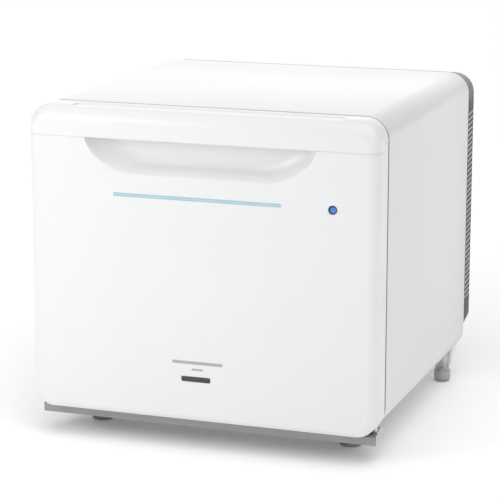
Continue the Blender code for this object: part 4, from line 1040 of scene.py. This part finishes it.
def feet():
    """The round front feet, with a knurled grip between a rolled tread and a stepped neck."""
    for word in ("left", "right"):
        low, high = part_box(f"front_foot_{word}")
        centre = ((low.x + high.x) / 2, (low.y + high.y) / 2, 0.0)
        radius = (high.x - low.x) / 2
        tread = ((0.80, 0.0), (0.93, 0.0004), (0.985, 0.0016), (1.0, 0.0030))
        neck = ((1.0, 0.0078), (0.985, 0.0088), (0.94, 0.0098), (0.88, 0.0104), (0.88, high.z))
        profile = [(radius * share, height) for share, height in tread + neck]

        def knurl(angle, level):
            depth = 0.012 if 2 <= level <= 5 else 0.0
            return 1.0 - depth * (0.5 + 0.5 * math.cos(36 * angle))

        bm = bmesh.new()
        lathe(bm, profile, centre, "Z", 216, knurl)
        place(link_mesh(f"foot_{word}", bm, RUBBER), "cabinet", "foot_rubber", f"front_foot_{word}")


def louvre_slats():
    """A pale slat in each side slot of the rear cover; its pale grey is a painted highlight for lit louvre
    blades. It leans out and down, and climbs to the back.
    """
    low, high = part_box("rear_cover")
    front = low.y + 0.0044
    back = high.y - 0.0064
    climb = 0.0030
    lift = 0.0003
    lean = 0.0016
    inner_top = 0.0030
    outer_top = 0.0016
    bm = bmesh.new()
    for i in range(LOUVRES):
        base = LOUVRE_LOW + LOUVRE_STEP * i + lift
        for side in (-1, 1):
            out = side * (high.x - 0.0003)
            inner = side * (high.x - 0.0017)
            rings = []
            for y, foot in ((front, base), (back, base + climb)):
                ring = [(out, y, foot), (inner, y, foot + lean)]
                ring += [(inner, y, foot + inner_top), (out, y, foot + outer_top)]
                rings.append(ring[::side])
            loft(bm, rings)
    place(link_mesh("louvre_slats", bm, SLAT_HIGHLIGHT), "cabinet", "bar_grey")


# ------------------------------------------------------------------ carried-over nodes


# Each carried-over node's material and the width of its softened edges
KEPT = {
    "inner_liner": (LINER, 0.0008),
    "cabinet_foam": (FOAM, 0.0),
    "rear_panel": (SHELL, 0.0),
    "rear_cover": (SLATE, 0.0004),
    "base_bar": (BAR_GREY, 0.0008),
    "bar_screw_left": (STEEL, 0.0002),
    "bar_screw_right": (STEEL, 0.0002),
    "lower_hinge_pin": (STEEL, 0.0002),
    "upper_hinge_bracket": (SHELL, 0.0003),
    "upper_hinge_pin": (STEEL, 0.0002),
    "hinge_screw_lower": (STEEL, 0.0001),
    "hinge_screw_upper": (STEEL, 0.0001),
    "rear_leg_left": (LEG, 0.0006),
    "rear_leg_right": (LEG, 0.0006),
    "rear_pad_left": (RUBBER, 0.0003),
    "rear_pad_right": (RUBBER, 0.0003),
    "shelf_rail_left": (LINER, 0.0012),
    "shelf_rail_right": (LINER, 0.0012),
    "cold_sink": (FIN, 0.0002),
    "cold_block": (FIN, 0.0004),
    "peltier_module": (CERAMIC, 0.0002),
    "hot_sink": (FIN, 0.0002),
    "hot_fan_frame": (BLACK, 0.0004),
    "hot_fan_rotor": (BLACK, 0.0003),
    "cold_fan_frame": (BLACK, 0.0004),
    "cold_fan_rotor": (BLACK, 0.0002),
    "evaporator_cover": (LINER, 0.0005),
    "temperature_dial": (DIAL, 0.0004),
    "power_board": (BOARD, 0.0002),
    "power_inlet": (BLACK, 0.0004),
    "shelf": (CLEAR, 0.0006),
    "drip_tray": (CLEAR, 0.0005),
    "door_foam": (FOAM, 0.0),
    "door_liner": (LINER, 0.0012),
    "door_pocket_lower": (CLEAR, 0.0006),
    "door_pocket_upper": (CLEAR, 0.0006),
    "hinge_bushing_lower": (NYLON, 0.0003),
    "hinge_bushing_upper": (NYLON, 0.0003),
    "lamp_board": (BOARD, 0.0001),
}


# Vertices of a carried-over node this close are joined before its edges are rounded
WELD_REACH = 0.000005


def finish_kept():
    """Gives each carried-over node its material and softened edges, all by modifiers on its own mesh."""
    for name, (mat, width) in KEPT.items():
        obj = frame["nodes"][name]
        obj.data.materials.clear()
        obj.data.materials.append(mat)
        weld = obj.modifiers.new("join", "WELD")
        weld.merge_threshold = WELD_REACH
        if width:
            round_edges(obj, width)


# ------------------------------------------------------------------ stage


# The dome's soft panels: the direction each is in, its sharpness and its strength
WORLD_BASE = 0.04
BACKDROP = 1.05
WORLD_PANELS = (
    ((0.0, 0.0, 1.0), 4.0, 0.60),
    ((0.34, -0.25, 0.905), 6.0, 2.10),
    ((0.0, -1.0, 0.10), 4.0, 0.17),
    ((0.97, 0.22, 0.0), 4.0, 0.34),
    ((-0.35, 0.90, 0.25), 4.0, 1.10),
    ((-0.30, 0.95, 0.05), 12.0, 0.52),
)


def world():
    """A white studio dome: a faint even base and a few broad panels. Seen directly, it is plain white."""
    made = bpy.data.worlds.new("studio")
    bpy.context.scene.world = made
    made.use_nodes = True
    tree = made.node_tree
    tree.nodes.clear()
    links = tree.links
    where = tree.nodes.new("ShaderNodeTexCoord").outputs["Generated"]

    def toward(direction):
        node = tree.nodes.new("ShaderNodeVectorMath")
        node.operation = "DOT_PRODUCT"
        node.inputs[1].default_value = direction
        links.new(where, node.inputs[0])
        return node.outputs["Value"]

    def calc(operation, a, b):
        node = tree.nodes.new("ShaderNodeMath")
        node.operation = operation
        for socket, value in zip(node.inputs, (a, b)):
            if isinstance(value, float):
                socket.default_value = value
            else:
                links.new(value, socket)
        return node.outputs["Value"]

    def panel(direction, sharp, gain):
        return calc("MULTIPLY", calc("POWER", calc("MAXIMUM", toward(direction), 0.0), sharp), gain)

    strength = WORLD_BASE
    for direction, sharp, gain in WORLD_PANELS:
        strength = calc("ADD", strength, panel(direction, sharp, gain))
    dome = tree.nodes.new("ShaderNodeBackground")
    dome.inputs["Color"].default_value = (1.0, 1.0, 1.0, 1.0)
    links.new(strength, dome.inputs["Strength"])
    plain = tree.nodes.new("ShaderNodeBackground")
    plain.inputs["Strength"].default_value = BACKDROP
    plain.inputs["Color"].default_value = (1.0, 1.0, 1.0, 1.0)
    ray = tree.nodes.new("ShaderNodeLightPath")
    mix = tree.nodes.new("ShaderNodeMixShader")
    out = tree.nodes.new("ShaderNodeOutputWorld")
    links.new(ray.outputs["Is Camera Ray"], mix.inputs["Fac"])
    links.new(dome.outputs["Background"], mix.inputs[1])
    links.new(plain.outputs["Background"], mix.inputs[2])
    links.new(mix.outputs["Shader"], out.inputs["Surface"])


FLOOR_DROP = 0.0002


def floor():
    """A wide pale floor just under the feet, with a faint glow that grows away from the object."""
    bm = bmesh.new()
    bmesh.ops.create_grid(bm, x_segments=8, y_segments=8, size=30.0)
    n = Nodes("floor_pale")
    drift = n.remap(n.noise(1.5, 3.0), 0.3, 0.7, 0.0, 1.0)
    tone = n.mix(drift, (0.955, 0.955, 0.955), (0.965, 0.965, 0.965))
    n.link(tone, n.shader.inputs["Base Color"])
    n.shader.inputs["Roughness"].default_value = 0.9
    n.shader.inputs["Specular IOR Level"].default_value = 0.0
    away = n.add("ShaderNodeVectorMath", operation="LENGTH")
    n.link(n.where, away.inputs[0])
    n.shader.inputs["Emission Color"].default_value = (1.0, 1.0, 1.0, 1.0)
    n.link(n.remap(away.outputs["Value"], 0.15, 0.90, 0.08, 0.16), n.shader.inputs["Emission Strength"])
    obj = link_mesh("studio_floor", bm, n.mat)
    obj.location.z = -FLOOR_DROP


# The key light: a disk in front, to the left and above
KEY_PLACE = Vector((-0.75, -1.15, 0.75))
KEY_AIM = Vector((0.0, -0.2, 0.15))
KEY_SIZE = 0.7
KEY_POWER = 5.5


def key_light():
    """One weak soft light that shapes the scoop and the rounded edges."""
    data = bpy.data.lights.new("key", "AREA")
    data.shape = "DISK"
    data.size = KEY_SIZE
    data.energy = KEY_POWER
    obj = bpy.data.objects.new("key", data)
    obj.location = KEY_PLACE
    obj.rotation_euler = (KEY_AIM - KEY_PLACE).to_track_quat("-Z", "Y").to_euler()
    bpy.context.collection.objects.link(obj)


# The camera: lens and sensor in millimetres, its place in metres, its downward tilt and its turn in degrees
LENS_LENGTH = 150.25
SENSOR_WIDTH = 36.0
CAMERA_PLACE = (0.77971, -2.24935, 0.72101)
CAMERA_TILT = 12.78
CAMERA_TURN = 19.489


def camera():
    """A long lens from the front, to the right and a little above."""
    data = bpy.data.cameras.new("camera")
    data.lens = LENS_LENGTH
    data.sensor_width = SENSOR_WIDTH
    data.dof.use_dof = False
    data.clip_end = 200.0
    obj = bpy.data.objects.new("camera", data)
    obj.location = CAMERA_PLACE
    obj.rotation_euler = (math.radians(90.0 - CAMERA_TILT), 0.0, math.radians(CAMERA_TURN))
    bpy.context.collection.objects.link(obj)
    bpy.context.scene.camera = obj


door_panel()
door_cap()
seam_tongues()
stripe()
lamp()
gasket()
printed_bars()
cabinet_skin()
feet()
louvre_slats()
finish_kept()
world()
floor()
key_light()
camera()
bpy.context.scene.view_settings.view_transform = "Standard"
